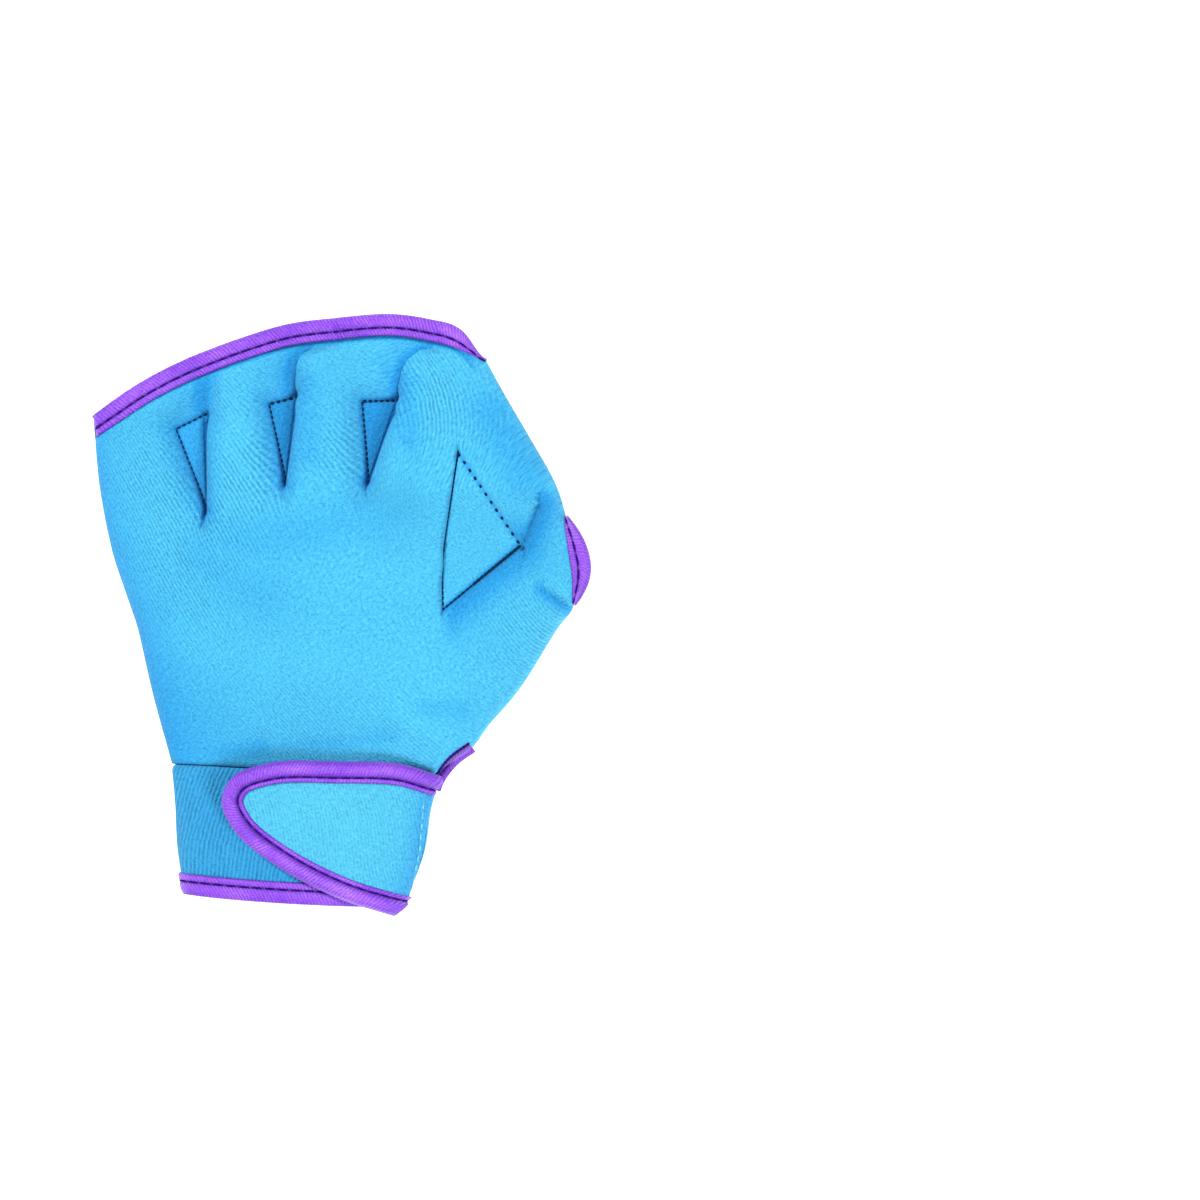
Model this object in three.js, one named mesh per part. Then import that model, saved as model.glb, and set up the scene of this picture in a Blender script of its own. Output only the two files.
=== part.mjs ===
// A webbed swim glove for the left hand, open at the fingers, the thumb and the wrist.
// It lies palm down, back up, with the fingers towards +Y and the thumb towards +X, in millimetres, +Z up.
// The two hand panels are cloth walls that puff up between the side seams and the pressed webs.
import * as THREE from 'three';

// Driving dimensions
const HAND_LENGTH = 150;      // wrist seam to the highest point of the finger rim
const HAND_WIDTH = 166;       // little-finger edge to the tip of the thumb opening
const CUFF_WIDTH = 91;        // wrist band, laid flat, at the wrist seam
const CUFF_HEIGHT = 45;       // wrist seam to the lower edge of the band
const CUFF_THICKNESS = 20;    // height of the oval band under the tab
const SEAM_HEIGHT = 10;       // level of the side seams and the pressed webs
const PUFF = 12;              // how far the back stands up between the seams
const PALM_PUFF = 10;         // how far the palm hangs below the seams before it rests flat
const WALL = 2;               // cloth
const GAP = 0.3;              // clearance between pieces
const TAPE_WALL = 0.8;        // binding tape
const TAPE_WIDTH = 7.3;       // binding tape, folded, from its nose to its free edge
const TAPE_NOSE = 0.4;        // half the flat of its nose, as a share of the cloth's thickness
const PATCH_THICKNESS = 2.8;  // fastening pad between the tab and the band
const SIDE_ROUND = 9;         // how far from a side seam the cloth reaches its height
const WEB_ROUND_LITTLE = 6;   // the same on the little-finger side of a web
const WEB_ROUND_THUMB = 2.6;  // the same on the thumb side of a web, which is steeper
const VALLEY_WIDTH = 5;       // valleys between the fingers, above the webs
const VALLEY_DEPTH = 0.42;    // their share of the height there
const THUMB_BULGE = 5.3;      // how far the thumb rim arcs out of the side
const THUMB_MOUTH = 4;        // how wide the thumb rim stands open, as a distance from the seam
const PALM_DROP = 6.5;        // how far the palm reaches down into the band
const EDGE_DROP = 3;          // how far the thumb side reaches down beside the band
const REST_EASE = 1.2;        // height over which the palm eases into its flat rest
const LEG_ROOM = 0.2;         // spare height for the inner legs of two tapes
const RIM_TAPER = 17;         // the finger tape narrows to a point over this stretch, at the thumb side
const SLOPE_STEP = 0.5;       // half the distance over which the cloth's slope is measured

// Shapes of the curves, and limits that are shares
const SIDE_SHAPE = 0.6;       // under 1 rises steeply from a side seam and then levels out
const WEB_SHAPE_LITTLE = 1.25; // over 1 leaves a web's floor gently
const WRIST_BLEND = 0.25;     // share of the length over which the hand leaves the oval of the wrist
const EDGE_FROM = 0.88;       // share of the wrist's width where the thumb side starts to reach down
const RIM_SLANT = 0.9;        // a drop below the slanting finger rim, as a distance from it
const OPENING_FADE = 0.04;    // share of the length over which the thumb opening closes
const MOST_STEEP = 3;         // a wall is never thicker, measured upright, than this many times itself
const MOST_INSET = 0.4;       // a side tape covers at most this share of the last column
const LEAST_ACROSS = 0.6;     // a tape's leg is lengthened where the grid slants, down to this cosine
const LEAST_ONWARD = 0.35;    // the same for the clearance under its nose

// Places along the hand, shares of HAND_LENGTH
const THUMB_WEB = { tip: 0.363, side: 0.562, top: 0.718 };  // the corners of the thumb's web
const THUMB_OPENING = { from: 0.42, to: 0.635 };
const WEB_TIP = 0.62;                                       // the tips of the three finger webs
const WEB_TOP = 0.83;                                       // their upper edges
const SLIT_TOP = 0.06;                                      // the upper end of the slit's tape

// How far a tape reaches over the cloth, as a share of a whole tape's leg
const SLIT_REACH = 0.4;     // along the slit beside the wrist
const RIM_END_REACH = 0.06; // at the point of the finger tape

// Across the hand, from the little finger to the thumb: side, three webs, thumb web, side.
// Each row is a line across the hand at a share of its length. The shares across are of the row's own size.
const COLUMNS = [
  'left', 'web1', 'web1End', 'web2', 'web2End', 'web3', 'web3End', 'thumb', 'thumbEnd', 'right',
];
const SECTIONS = [
  { along: 0, size: CUFF_WIDTH, left: -0.5, web1: -0.344, web1End: -0.308, web2: -0.168, web2End: -0.132,
    web3: 0.015, web3End: 0.051, thumb: 0.205, thumbEnd: 0.293, right: 0.5, back: 0.9, palm: 0.9 },
  { along: 0.18, size: HAND_WIDTH, left: -0.312, web1: -0.204, web1End: -0.182, web2: -0.088, web2End: -0.064,
    web3: 0.044, web3End: 0.066, thumb: 0.184, thumbEnd: 0.214, right: 0.403, back: 0.98, palm: 1 },
  { along: THUMB_WEB.tip, size: HAND_WIDTH, left: -0.343, web1: -0.216, web1End: -0.194, web2: -0.072,
    web2End: -0.05, web3: 0.08, web3End: 0.1, thumb: 0.266, thumbEnd: 0.282, right: 0.502, back: 1, palm: 1 },
  { along: THUMB_OPENING.from, size: HAND_WIDTH, left: -0.356, web1: -0.216, web1End: -0.196, web2: -0.068,
    web2End: -0.046, web3: 0.086, web3End: 0.106, thumb: 0.264, thumbEnd: 0.326,
    right: 0.534, back: 1, palm: 1 },
  { along: THUMB_WEB.side, size: HAND_WIDTH, left: -0.388, web1: -0.216, web1End: -0.198, web2: -0.058,
    web2End: -0.04, web3: 0.1, web3End: 0.118, thumb: 0.266, thumbEnd: 0.426,
    right: 0.526, back: 0.94, palm: 0.92 },
  { along: THUMB_OPENING.to, size: HAND_WIDTH, left: -0.4, web1: -0.21, web1End: -0.2, web2: -0.052,
    web2End: -0.04, web3: 0.114, web3End: 0.126, thumb: 0.278, thumbEnd: 0.368,
    right: 0.518, back: 0.88, palm: 0.82 },
  { along: THUMB_WEB.top, size: HAND_WIDTH, left: -0.411, web1: -0.234, web1End: -0.202, web2: -0.06,
    web2End: -0.034, web3: 0.112, web3End: 0.156, thumb: 0.288, thumbEnd: 0.304,
    right: 0.496, back: 0.82, palm: 0.72 },
  { along: WEB_TOP, size: HAND_WIDTH, left: -0.422, web1: -0.262, web1End: -0.204, web2: -0.076,
    web2End: -0.022, web3: 0.112, web3End: 0.174, thumb: 0.264, thumbEnd: 0.304,
    right: 0.444, back: 0.72, palm: 0.6 },
  { along: 1, size: HAND_WIDTH, left: -0.43, web1: -0.244, web1End: -0.186, web2: -0.042, web2End: 0.02,
    web3: 0.136, web3End: 0.234, thumb: 0.284, thumbEnd: 0.314, right: 0.358, back: 0.55, palm: 0.42 },
];
const CELLS_ACROSS = [5, 2, 5, 2, 5, 2, 4, 4, 5];  // between the columns
const CELLS_ALONG = [3, 3, 2, 4, 2, 2, 3, 4];      // between the sections

// The finger rim, across as a share of HAND_WIDTH and along as a share of HAND_LENGTH
const FINGER_RIM = [
  { across: -0.436, along: 0.771 },
  { across: -0.336, along: 0.846 },
  { across: -0.236, along: 0.903 },
  { across: -0.136, along: 0.945 },
  { across: -0.036, along: 0.978 },
  { across: 0.064, along: 0.992 },
  { across: 0.164, along: 1 },
  { across: 0.244, along: 0.989 },
  { across: 0.304, along: 0.968 },
  { across: 0.356, along: 0.906 },
  { across: 0.56, along: 0.89 },
];

// The wrist band's sides, shares of CUFF_WIDTH, down its height
const BAND_SIDES = [
  { along: 0, left: -0.5, right: 0.5 },
  { along: 0.3, left: -0.484, right: 0.452 },
  { along: 0.65, left: -0.477, right: 0.422 },
  { along: 1, left: -0.443, right: 0.36 },
];
const BAND_ROWS = [0, 0.3, 0.65];  // shares of its height; two more rows hold the tape
const BAND_TURNS = { from: 50, underTab: 180, palm: 270, to: 381 };  // degrees round the oval
const BAND_STEPS = 30;
const OVAL = 3;                    // exponent of the oval, 2 is an ellipse and more is boxier
const BACK_EDGE_RISE = 0.09;       // the band is this share of its height lower on the thumb side

// The tab, across as a share of the oval's half width and along as a share of CUFF_HEIGHT below the seam
const TAB_OUTLINE = [
  { across: 0.95, along: 0.07 },
  { across: 0.676, along: -0.015 },
  { across: 0.235, along: -0.033 },
  { across: -0.243, along: -0.026 },
  { across: -0.52, along: 0.074 },
  { across: -0.6, along: 0.235 },
  { across: -0.497, along: 0.449 },
  { across: -0.17, along: 0.69 },
  { across: 0.374, along: 0.924 },
  { across: 0.95, along: 1.08 },
];
const TAB_STEPS = 30;
const PATCH_CORNERS = { left: -0.26, right: 0.62, top: 0.18, lowLeft: 0.38, lowRight: 0.74 };
const PATCH_CELLS = { across: 8, down: 3 };

// Sizes that follow from the driving ones
const HALF_GAP = GAP / 2;
const TAPE_LEG = TAPE_WIDTH - GAP - TAPE_WALL;       // how far the tape reaches over the cloth
const TAPE_STAND = GAP + TAPE_WALL;                  // how far the tape stands off the cloth
const OPENING_LIFT = TAPE_STAND + LEG_ROOM;          // keeps room for the inner legs of two tapes
const BAND_BASE = TAPE_STAND;                        // the band's tape rests on the ground
const TAB_LIFT = WALL + PATCH_THICKNESS + 2 * GAP;   // tab surface above the band's surface
const PALM_LIMIT = SEAM_HEIGHT - HALF_GAP - WALL;    // the palm lies flat on the ground here

// Colours
const BLUE = new THREE.MeshStandardMaterial({ color: 0x49c3f5, roughness: 0.8, metalness: 0 });
const DEEP_BLUE = new THREE.MeshStandardMaterial({ color: 0x3fb4ea, roughness: 0.8, metalness: 0 });
const BLACK = new THREE.MeshStandardMaterial({ color: 0x262628, roughness: 0.45, metalness: 0 });
const PURPLE = new THREE.MeshStandardMaterial({ color: 0x9850f0, roughness: 0.5, metalness: 0 });
const PAD_GREY = new THREE.MeshStandardMaterial({ color: 0x33333a, roughness: 0.9, metalness: 0 });

const clamp01 = (t) => Math.min(1, Math.max(0, t));
const smooth = (t) => clamp01(t) ** 2 * (3 - 2 * clamp01(t));
const mix = (a, b, t) => a + (b - a) * t;
const up = new THREE.Vector3(0, 0, 1);

// Reads a table at a place between its rows, on straight lines or on one smooth curve
function readTable(rows, key, value, place, curved) {
  let i = 0;
  while (i < rows.length - 2 && place > rows[i + 1][key]) i += 1;
  const a = rows[i];
  const b = rows[i + 1];
  const span = b[key] - a[key];
  const t = clamp01((place - a[key]) / span);
  if (!curved) return mix(a[value], b[value], t);
  const before = rows[Math.max(0, i - 1)];
  const after = rows[Math.min(rows.length - 1, i + 2)];
  const slopeA = (b[value] - before[value]) / (b[key] - before[key]);
  const slopeB = (after[value] - a[value]) / (after[key] - a[key]);
  const t2 = t * t;
  const t3 = t2 * t;
  return (2 * t3 - 3 * t2 + 1) * a[value] + (t3 - 2 * t2 + t) * span * slopeA
    + (3 * t2 - 2 * t3) * b[value] + (t3 - t2) * span * slopeB;
}

// The plan of the hand
const sections = SECTIONS.map((row) => {
  const placed = { along: row.along, back: row.back, palm: row.palm };
  COLUMNS.forEach((name) => { placed[name] = row[name] * row.size; });
  return placed;
});
const finger = FINGER_RIM.map((row) => ({ x: row.across * HAND_WIDTH, y: row.along * HAND_LENGTH }));
const rimY = (x) => readTable(finger, 'x', 'y', Math.max(x, finger[0].x), true);

function wristY(x, palm) {
  const share = clamp01(x / CUFF_WIDTH + 0.5);
  if (palm) return -PALM_DROP * Math.sin(Math.PI * share) - EDGE_DROP * share;
  return -EDGE_DROP * smooth((share - EDGE_FROM) / (1 - EDGE_FROM));
}

function thumbWindow(along) {
  const t = (along - THUMB_OPENING.from) / (THUMB_OPENING.to - THUMB_OPENING.from);
  return t > 0 && t < 1 ? Math.sin(Math.PI * t) : 0;
}

const leftX = (along) => readTable(sections, 'along', 'left', along, true);
function rightX(along) {
  return readTable(sections, 'along', 'right', along, true) + THUMB_BULGE * thumbWindow(along);
}

function keyColumns(along) {
  return COLUMNS.map((name) => {
    if (name === 'left') return leftX(along);
    if (name === 'right') return rightX(along);
    return readTable(sections, 'along', name, along, false);
  });
}

const yAt = (x, along, palm) => mix(wristY(x, palm), rimY(x), along);
const alongAt = (x, y, palm) => clamp01((y - wristY(x, palm)) / (rimY(x) - wristY(x, palm)));

// The pressed webs as triangles, and the valleys that run on to the finger rim
function spot(along, name, otherName = name) {
  const columnX = (column) => readTable(sections, 'along', column, along, false);
  const x = (columnX(name) + columnX(otherName)) / 2;
  return new THREE.Vector2(x, yAt(x, along, false));
}
const webs = ['web1', 'web2', 'web3'].map((name) => ({
  corners: [spot(WEB_TOP, name), spot(WEB_TOP, `${name}End`), spot(WEB_TIP, name, `${name}End`)],
  valley: [spot(WEB_TOP, `${name}End`), spot(1, `${name}End`)],
}));
const thumbCorners = [
  spot(THUMB_WEB.top, 'thumb', 'thumbEnd'),
  spot(THUMB_WEB.side, 'thumbEnd'),
  spot(THUMB_WEB.tip, 'thumb', 'thumbEnd'),
];

function distanceToLine(x, y, a, b) {
  const dx = b.x - a.x;
  const dy = b.y - a.y;
  const t = clamp01(((x - a.x) * dx + (y - a.y) * dy) / (dx * dx + dy * dy));
  return Math.hypot(x - a.x - t * dx, y - a.y - t * dy);
}

function distanceToWeb(x, y, [a, b, c]) {
  const side = (p, q) => (q.x - p.x) * (y - p.y) - (q.y - p.y) * (x - p.x);
  const turns = [side(a, b), side(b, c), side(c, a)];
  if (turns.every((s) => s <= 0) || turns.every((s) => s >= 0)) return 0;
  return Math.min(distanceToLine(x, y, a, b), distanceToLine(x, y, b, c), distanceToLine(x, y, c, a));
}

function webRise(x, y, corners) {
  const middle = (corners[0].x + corners[1].x + corners[2].x) / 3;
  const toThumb = smooth((x - middle) / (2 * WEB_ROUND_LITTLE) + 0.5);
  const round = mix(WEB_ROUND_LITTLE, WEB_ROUND_THUMB, toThumb);
  return 1 - Math.exp(-((distanceToWeb(x, y, corners) / round) ** mix(WEB_SHAPE_LITTLE, 1, toThumb)));
}

const sideRise = (distance) => (1 - Math.exp(-Math.max(0, distance) / SIDE_ROUND)) ** SIDE_SHAPE;

// The oval of the band, where the hand panels meet it
function ovalAt(y) {
  const along = clamp01(-y / CUFF_HEIGHT);
  const left = readTable(BAND_SIDES, 'along', 'left', along, true) * CUFF_WIDTH;
  const right = readTable(BAND_SIDES, 'along', 'right', along, true) * CUFF_WIDTH;
  return { middle: (left + right) / 2, half: (right - left) / 2 };
}
const ovalRise = (share) => (1 - Math.min(1, Math.abs(share)) ** OVAL) ** (1 / OVAL);
const bandHalf = CUFF_THICKNESS / 2;
const tabHalf = bandHalf + TAB_LIFT / 2;

// How far a panel stands off its own flat level
function puff(x, y, palm) {
  const along = alongAt(x, y, palm);
  const crown = readTable(sections, 'along', palm ? 'palm' : 'back', along, true) * (palm ? PALM_PUFF : PUFF);
  const mouth = THUMB_MOUTH * thumbWindow(along);
  let rise = sideRise(x - leftX(along)) * sideRise(rightX(along) - x + mouth);
  webs.forEach((web) => {
    const valley = distanceToLine(x, y, web.valley[0], web.valley[1]) / VALLEY_WIDTH;
    rise *= webRise(x, y, web.corners) * (1 - VALLEY_DEPTH * Math.exp(-valley * valley));
  });
  rise *= webRise(x, y, thumbCorners);
  const middle = (leftX(along) + rightX(along)) / 2;
  const half = (rightX(along) - leftX(along)) / 2;
  const oval = ovalRise((x - middle) / half) * bandHalf;
  const level = SEAM_HEIGHT + (palm ? -1 : 1) * (HALF_GAP + WALL);
  const wrist = palm ? level - (BAND_BASE + bandHalf - oval) : BAND_BASE + bandHalf + oval - level;
  return mix(Math.max(0, wrist), crown * rise, smooth(along / WRIST_BLEND));
}

// The palm eases into its flat rest
function restFlat(height) {
  if (height <= PALM_LIMIT - REST_EASE) return height;
  if (height >= PALM_LIMIT + REST_EASE) return PALM_LIMIT;
  return height - (height - PALM_LIMIT + REST_EASE) ** 2 / (4 * REST_EASE);
}

// The two layers part a little at the openings, for the inner legs of the tapes
function openingLift(x, y, palm) {
  const along = alongAt(x, y, palm);
  const near = (distance) => 1 - smooth((distance - TAPE_WIDTH - TAPE_STAND) / TAPE_WIDTH);
  const outside = Math.max(THUMB_OPENING.from - along, along - THUMB_OPENING.to, 0);
  const thumb = near(rightX(along) - x) * (1 - smooth(outside / OPENING_FADE));
  return OPENING_LIFT * Math.max(near((rimY(x) - y) * RIM_SLANT), thumb);
}

function panelLevels(x, y, palm) {
  const height = (px, py) => (palm ? restFlat(puff(px, py, true)) : puff(px, py, false));
  const lift = openingLift(x, y, palm);
  const h = height(x, y);
  const limited = palm ? Math.min(h, PALM_LIMIT - lift - TAPE_STAND * (lift / OPENING_LIFT)) : h;
  const slopeX = (height(x + SLOPE_STEP, y) - height(x - SLOPE_STEP, y)) / (2 * SLOPE_STEP);
  const slopeY = (height(x, y + SLOPE_STEP) - height(x, y - SLOPE_STEP)) / (2 * SLOPE_STEP);
  const outer = HALF_GAP + lift + WALL + limited;
  const inner = Math.max(HALF_GAP + lift, outer - WALL * Math.min(MOST_STEEP, Math.hypot(1, slopeX, slopeY)));
  const sign = palm ? -1 : 1;
  return { outer: SEAM_HEIGHT + sign * outer, inner: SEAM_HEIGHT + sign * inner };
}

// The plan grid of a panel, with a row and a column for the tape's free edge
function panelPlan(palm) {
  const alongs = [];
  CELLS_ALONG.forEach((cells, i) => {
    for (let k = 0; k < cells; k += 1) alongs.push(mix(SECTIONS[i].along, SECTIONS[i + 1].along, k / cells));
  });
  alongs.push(1);
  const plan = alongs.map((along) => {
    const keys = keyColumns(along);
    const xs = [];
    CELLS_ACROSS.forEach((cells, i) => {
      const last = i === CELLS_ACROSS.length - 1;
      const width = keys[i + 1] - keys[i];
      const leg = along <= SLIT_TOP ? TAPE_LEG * SLIT_REACH : TAPE_LEG;
      const inset = last ? Math.min(leg, MOST_INSET * width) : 0;
      const count = last ? cells - 1 : cells;
      for (let k = 0; k < count; k += 1) xs.push(keys[i] + (width - inset) * (k / count));
      if (last) xs.push(keys[i + 1] - inset);
    });
    xs.push(keys[keys.length - 1]);
    return xs.map((x) => new THREE.Vector2(x, yAt(x, along, palm)));
  });
  const rim = plan[plan.length - 1];
  const outs = edgeDirections(rim);
  plan[plan.length - 2] = rim.map((point, j) => {
    const down = plan[plan.length - 3][j].clone().sub(point).normalize();
    const lean = Math.max(LEAST_ACROSS, -down.dot(outs[j]));
    const taper = mix(RIM_END_REACH, 1, smooth(point.distanceTo(rim[rim.length - 1]) / RIM_TAPER));
    return point.clone().addScaledVector(down, TAPE_LEG * taper / lean);
  });
  return plan;
}

// Directions that point out of a row of plan points, to the left of its travel
function edgeDirections(points) {
  return points.map((point, i) => {
    const before = points[Math.max(0, i - 1)];
    const after = points[Math.min(points.length - 1, i + 1)];
    const travel = after.clone().sub(before).normalize();
    return new THREE.Vector2(-travel.y, travel.x);
  });
}

// Meshes from rings and grids of points
function closedMesh(name, triangles, material) {
  const positions = [];
  let volume = 0;
  triangles.forEach(([a, b, c]) => {
    volume += a.dot(b.clone().cross(c));
  });
  triangles.forEach(([a, b, c]) => {
    const order = volume < 0 ? [a, c, b] : [a, b, c];
    order.forEach((p) => positions.push(p.x, p.y, p.z));
  });
  const geometry = new THREE.BufferGeometry();
  geometry.setAttribute('position', new THREE.Float32BufferAttribute(positions, 3));
  geometry.computeVertexNormals();
  const mesh = new THREE.Mesh(geometry, material);
  mesh.name = name;
  return mesh;
}

const MERGED = 0.0001;
const alike = (a, b) => a.distanceTo(b) < MERGED;
function addTriangle(list, a, b, c) {
  if (!alike(a, b) && !alike(b, c) && !alike(c, a)) list.push([a, b, c]);
}
function addQuad(list, a, b, c, d) {
  addTriangle(list, a, b, c);
  addTriangle(list, a, c, d);
}

// A wall between two grids of points, closed round its edge
function wallMesh(name, top, bottom, material) {
  const list = [];
  const rows = top.length - 1;
  const columns = top[0].length - 1;
  for (let i = 0; i < rows; i += 1) {
    for (let j = 0; j < columns; j += 1) {
      addQuad(list, top[i][j], top[i][j + 1], top[i + 1][j + 1], top[i + 1][j]);
      addQuad(list, bottom[i + 1][j], bottom[i + 1][j + 1], bottom[i][j + 1], bottom[i][j]);
    }
  }
  for (let j = 0; j < columns; j += 1) {
    addQuad(list, bottom[0][j], bottom[0][j + 1], top[0][j + 1], top[0][j]);
    addQuad(list, top[rows][j], top[rows][j + 1], bottom[rows][j + 1], bottom[rows][j]);
  }
  for (let i = 0; i < rows; i += 1) {
    addQuad(list, top[i][0], top[i + 1][0], bottom[i + 1][0], bottom[i][0]);
    addQuad(list, bottom[i][columns], bottom[i + 1][columns], top[i + 1][columns], top[i][columns]);
  }
  return closedMesh(name, list, material);
}

// Binding tape folded over an edge. Each station has the cloth's two faces at the edge and at the tape's
// free edge, the direction off the cloth there, and the direction out of the edge.
function tapeMesh(name, stations, material) {
  const rings = stations.map(({ topFar, topEdge, lowEdge, lowFar, off, offFar, out }) => {
    const past = (far, edge) => {
      const onward = edge.clone().sub(far).normalize();
      return edge.clone().addScaledVector(onward, GAP / Math.max(LEAST_ONWARD, onward.dot(out)));
    };
    const top = past(topFar, topEdge);
    const low = past(lowFar, lowEdge);
    const middle = top.clone().add(low).multiplyScalar(0.5).addScaledVector(out, TAPE_WALL);
    const half = top.distanceTo(low) * TAPE_NOSE;
    return [
      topFar.clone().addScaledVector(offFar, TAPE_STAND),
      top.clone().addScaledVector(off, TAPE_STAND),
      middle.clone().addScaledVector(off, half),
      middle.clone().addScaledVector(off, -half),
      low.clone().addScaledVector(off, -TAPE_STAND),
      lowFar.clone().addScaledVector(offFar, -TAPE_STAND),
      lowFar.clone().addScaledVector(offFar, -GAP),
      low.clone().addScaledVector(off, -GAP),
      top.clone().addScaledVector(off, GAP),
      topFar.clone().addScaledVector(offFar, GAP),
    ];
  });
  const list = [];
  const corners = rings[0].length;
  for (let i = 0; i < rings.length - 1; i += 1) {
    for (let k = 0; k < corners; k += 1) {
      const n = (k + 1) % corners;
      addQuad(list, rings[i + 1][k], rings[i][k], rings[i][n], rings[i + 1][n]);
    }
  }
  const cap = (r, flip) => {
    const faces = [[0, 1, 8], [0, 8, 9], [1, 2, 8], [2, 3, 7], [2, 7, 8], [3, 4, 7], [4, 5, 6], [4, 6, 7]];
    faces.forEach(([a, b, c]) => {
      if (flip) addTriangle(list, r[a], r[b], r[c]);
      else addTriangle(list, r[a], r[c], r[b]);
    });
  };
  cap(rings[0], false);
  cap(rings[rings.length - 1], true);
  return closedMesh(name, list, material);
}

// The hand panels
function panelGrids(palm) {
  const plan = panelPlan(palm);
  const raise = ({ x, y }, face) => new THREE.Vector3(x, y, panelLevels(x, y, palm)[face]);
  const place = (face) => plan.map((row) => row.map((point) => raise(point, face)));
  return { plan, outer: place('outer'), inner: place('inner') };
}

// Tape over the finger rim of one panel
function fingerBinding(name, grids, palm) {
  const last = grids.plan.length - 1;
  const top = palm ? grids.inner : grids.outer;
  const low = palm ? grids.outer : grids.inner;
  const outs = edgeDirections(grids.plan[last]);
  const stations = outs.map((out, j) => ({
    topFar: top[last - 1][j], topEdge: top[last][j], lowEdge: low[last][j], lowFar: low[last - 1][j],
    off: up, offFar: up, out: new THREE.Vector3(out.x, out.y, 0),
  }));
  return tapeMesh(name, stations, PURPLE);
}

// Tape over a stretch of the thumb side, between two shares of the length
function sideStations(topGrids, lowGrids, from, to, topSide, lowSide) {
  const last = topGrids.plan[0].length - 1;
  const edge = topGrids.plan.map((row) => row[last]);
  const outs = edgeDirections(edge);
  const stations = [];
  topGrids.plan.forEach((row, i) => {
    const along = alongAt(row[last].x, row[last].y, false);
    if (along < from - MERGED || along > to + MERGED) return;
    stations.push({
      topFar: topGrids[topSide][i][last - 1], topEdge: topGrids[topSide][i][last],
      lowEdge: lowGrids[lowSide][i][last], lowFar: lowGrids[lowSide][i][last - 1],
      off: up, offFar: up, out: new THREE.Vector3(-outs[i].x, -outs[i].y, 0),
    });
  });
  return stations;
}

// The wrist band and the tab
function onOval(y, angle) {
  const { middle, half } = ovalAt(y);
  const high = angle <= BAND_TURNS.palm ? bandHalf : tabHalf;
  const turn = THREE.MathUtils.degToRad(angle);
  const bow = (v) => Math.sign(v) * Math.abs(v) ** (2 / OVAL);
  return { x: middle + half * bow(Math.cos(turn)), z: BAND_BASE + high + high * bow(Math.sin(turn)) };
}

function ovalNormal(y, angle) {
  const a = onOval(y, angle - 1);
  const b = onOval(y, angle + 1);
  return new THREE.Vector3(b.z - a.z, 0, a.x - b.x).normalize();
}

function bandTop(angle) {
  if (angle > 360) return -EDGE_DROP - GAP;
  const onPalm = angle > BAND_TURNS.underTab;
  let y = 0;
  for (let pass = 0; pass < 3; pass += 1) {
    const { x } = onOval(y, angle);
    const innerX = x - ovalNormal(y, angle).x * WALL;
    y = Math.min(wristY(x, onPalm), wristY(innerX, onPalm)) - GAP;
  }
  return y;
}

function bandBottom(x) {
  const share = clamp01(x / CUFF_WIDTH + 0.5);
  return -CUFF_HEIGHT * (1 - BACK_EDGE_RISE * (1 - share) ** 2);
}

function bandGrids() {
  const { from, to } = BAND_TURNS;
  const angles = Array.from({ length: BAND_STEPS + 1 }, (_, j) => mix(from, to, j / BAND_STEPS));
  const columns = angles.map((angle) => {
    const top = bandTop(angle);
    const bottom = bandBottom(onOval(0, angle).x);
    const ys = BAND_ROWS.map((share) => mix(top, bottom, share));
    ys.push(bottom + TAPE_LEG, bottom);
    return ys.map((y) => {
      const { x, z } = onOval(y, angle);
      const normal = ovalNormal(y, angle);
      const outer = new THREE.Vector3(x, y, z);
      return { outer, inner: outer.clone().addScaledVector(normal, -WALL), normal };
    });
  });
  const turned = (which) => columns[0].map((_, i) => columns.map((column) => column[i][which]));
  return { outer: turned('outer'), inner: turned('inner'), normal: turned('normal') };
}

function cuffBinding(grids) {
  const last = grids.outer.length - 1;
  const stations = grids.outer[last].map((edge, j) => ({
    topFar: grids.outer[last - 1][j], topEdge: edge,
    lowEdge: grids.inner[last][j], lowFar: grids.inner[last - 1][j],
    off: grids.normal[last][j], offFar: grids.normal[last - 1][j], out: new THREE.Vector3(0, -1, 0),
  }));
  return tapeMesh('cuff_binding', stations, PURPLE);
}

// A point of the tab's surface, from its share across the oval
function onTab(x, y) {
  const { middle, half } = ovalAt(y);
  const share = (x - middle) / half;
  const rise = ovalRise(share);
  const steep = -tabHalf * Math.sign(share) * Math.abs(share) ** (OVAL - 1) / rise ** (OVAL - 1) / half;
  const normal = new THREE.Vector3(-steep, 0, 1).normalize();
  return { outer: new THREE.Vector3(x, y, BAND_BASE + tabHalf + tabHalf * rise), normal };
}

// The tab starts where the band ends, at the fold on the thumb side. The gap is measured along the slope.
function tabStartX(y) {
  return onOval(y, BAND_TURNS.to).x - 2 * GAP;
}

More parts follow.
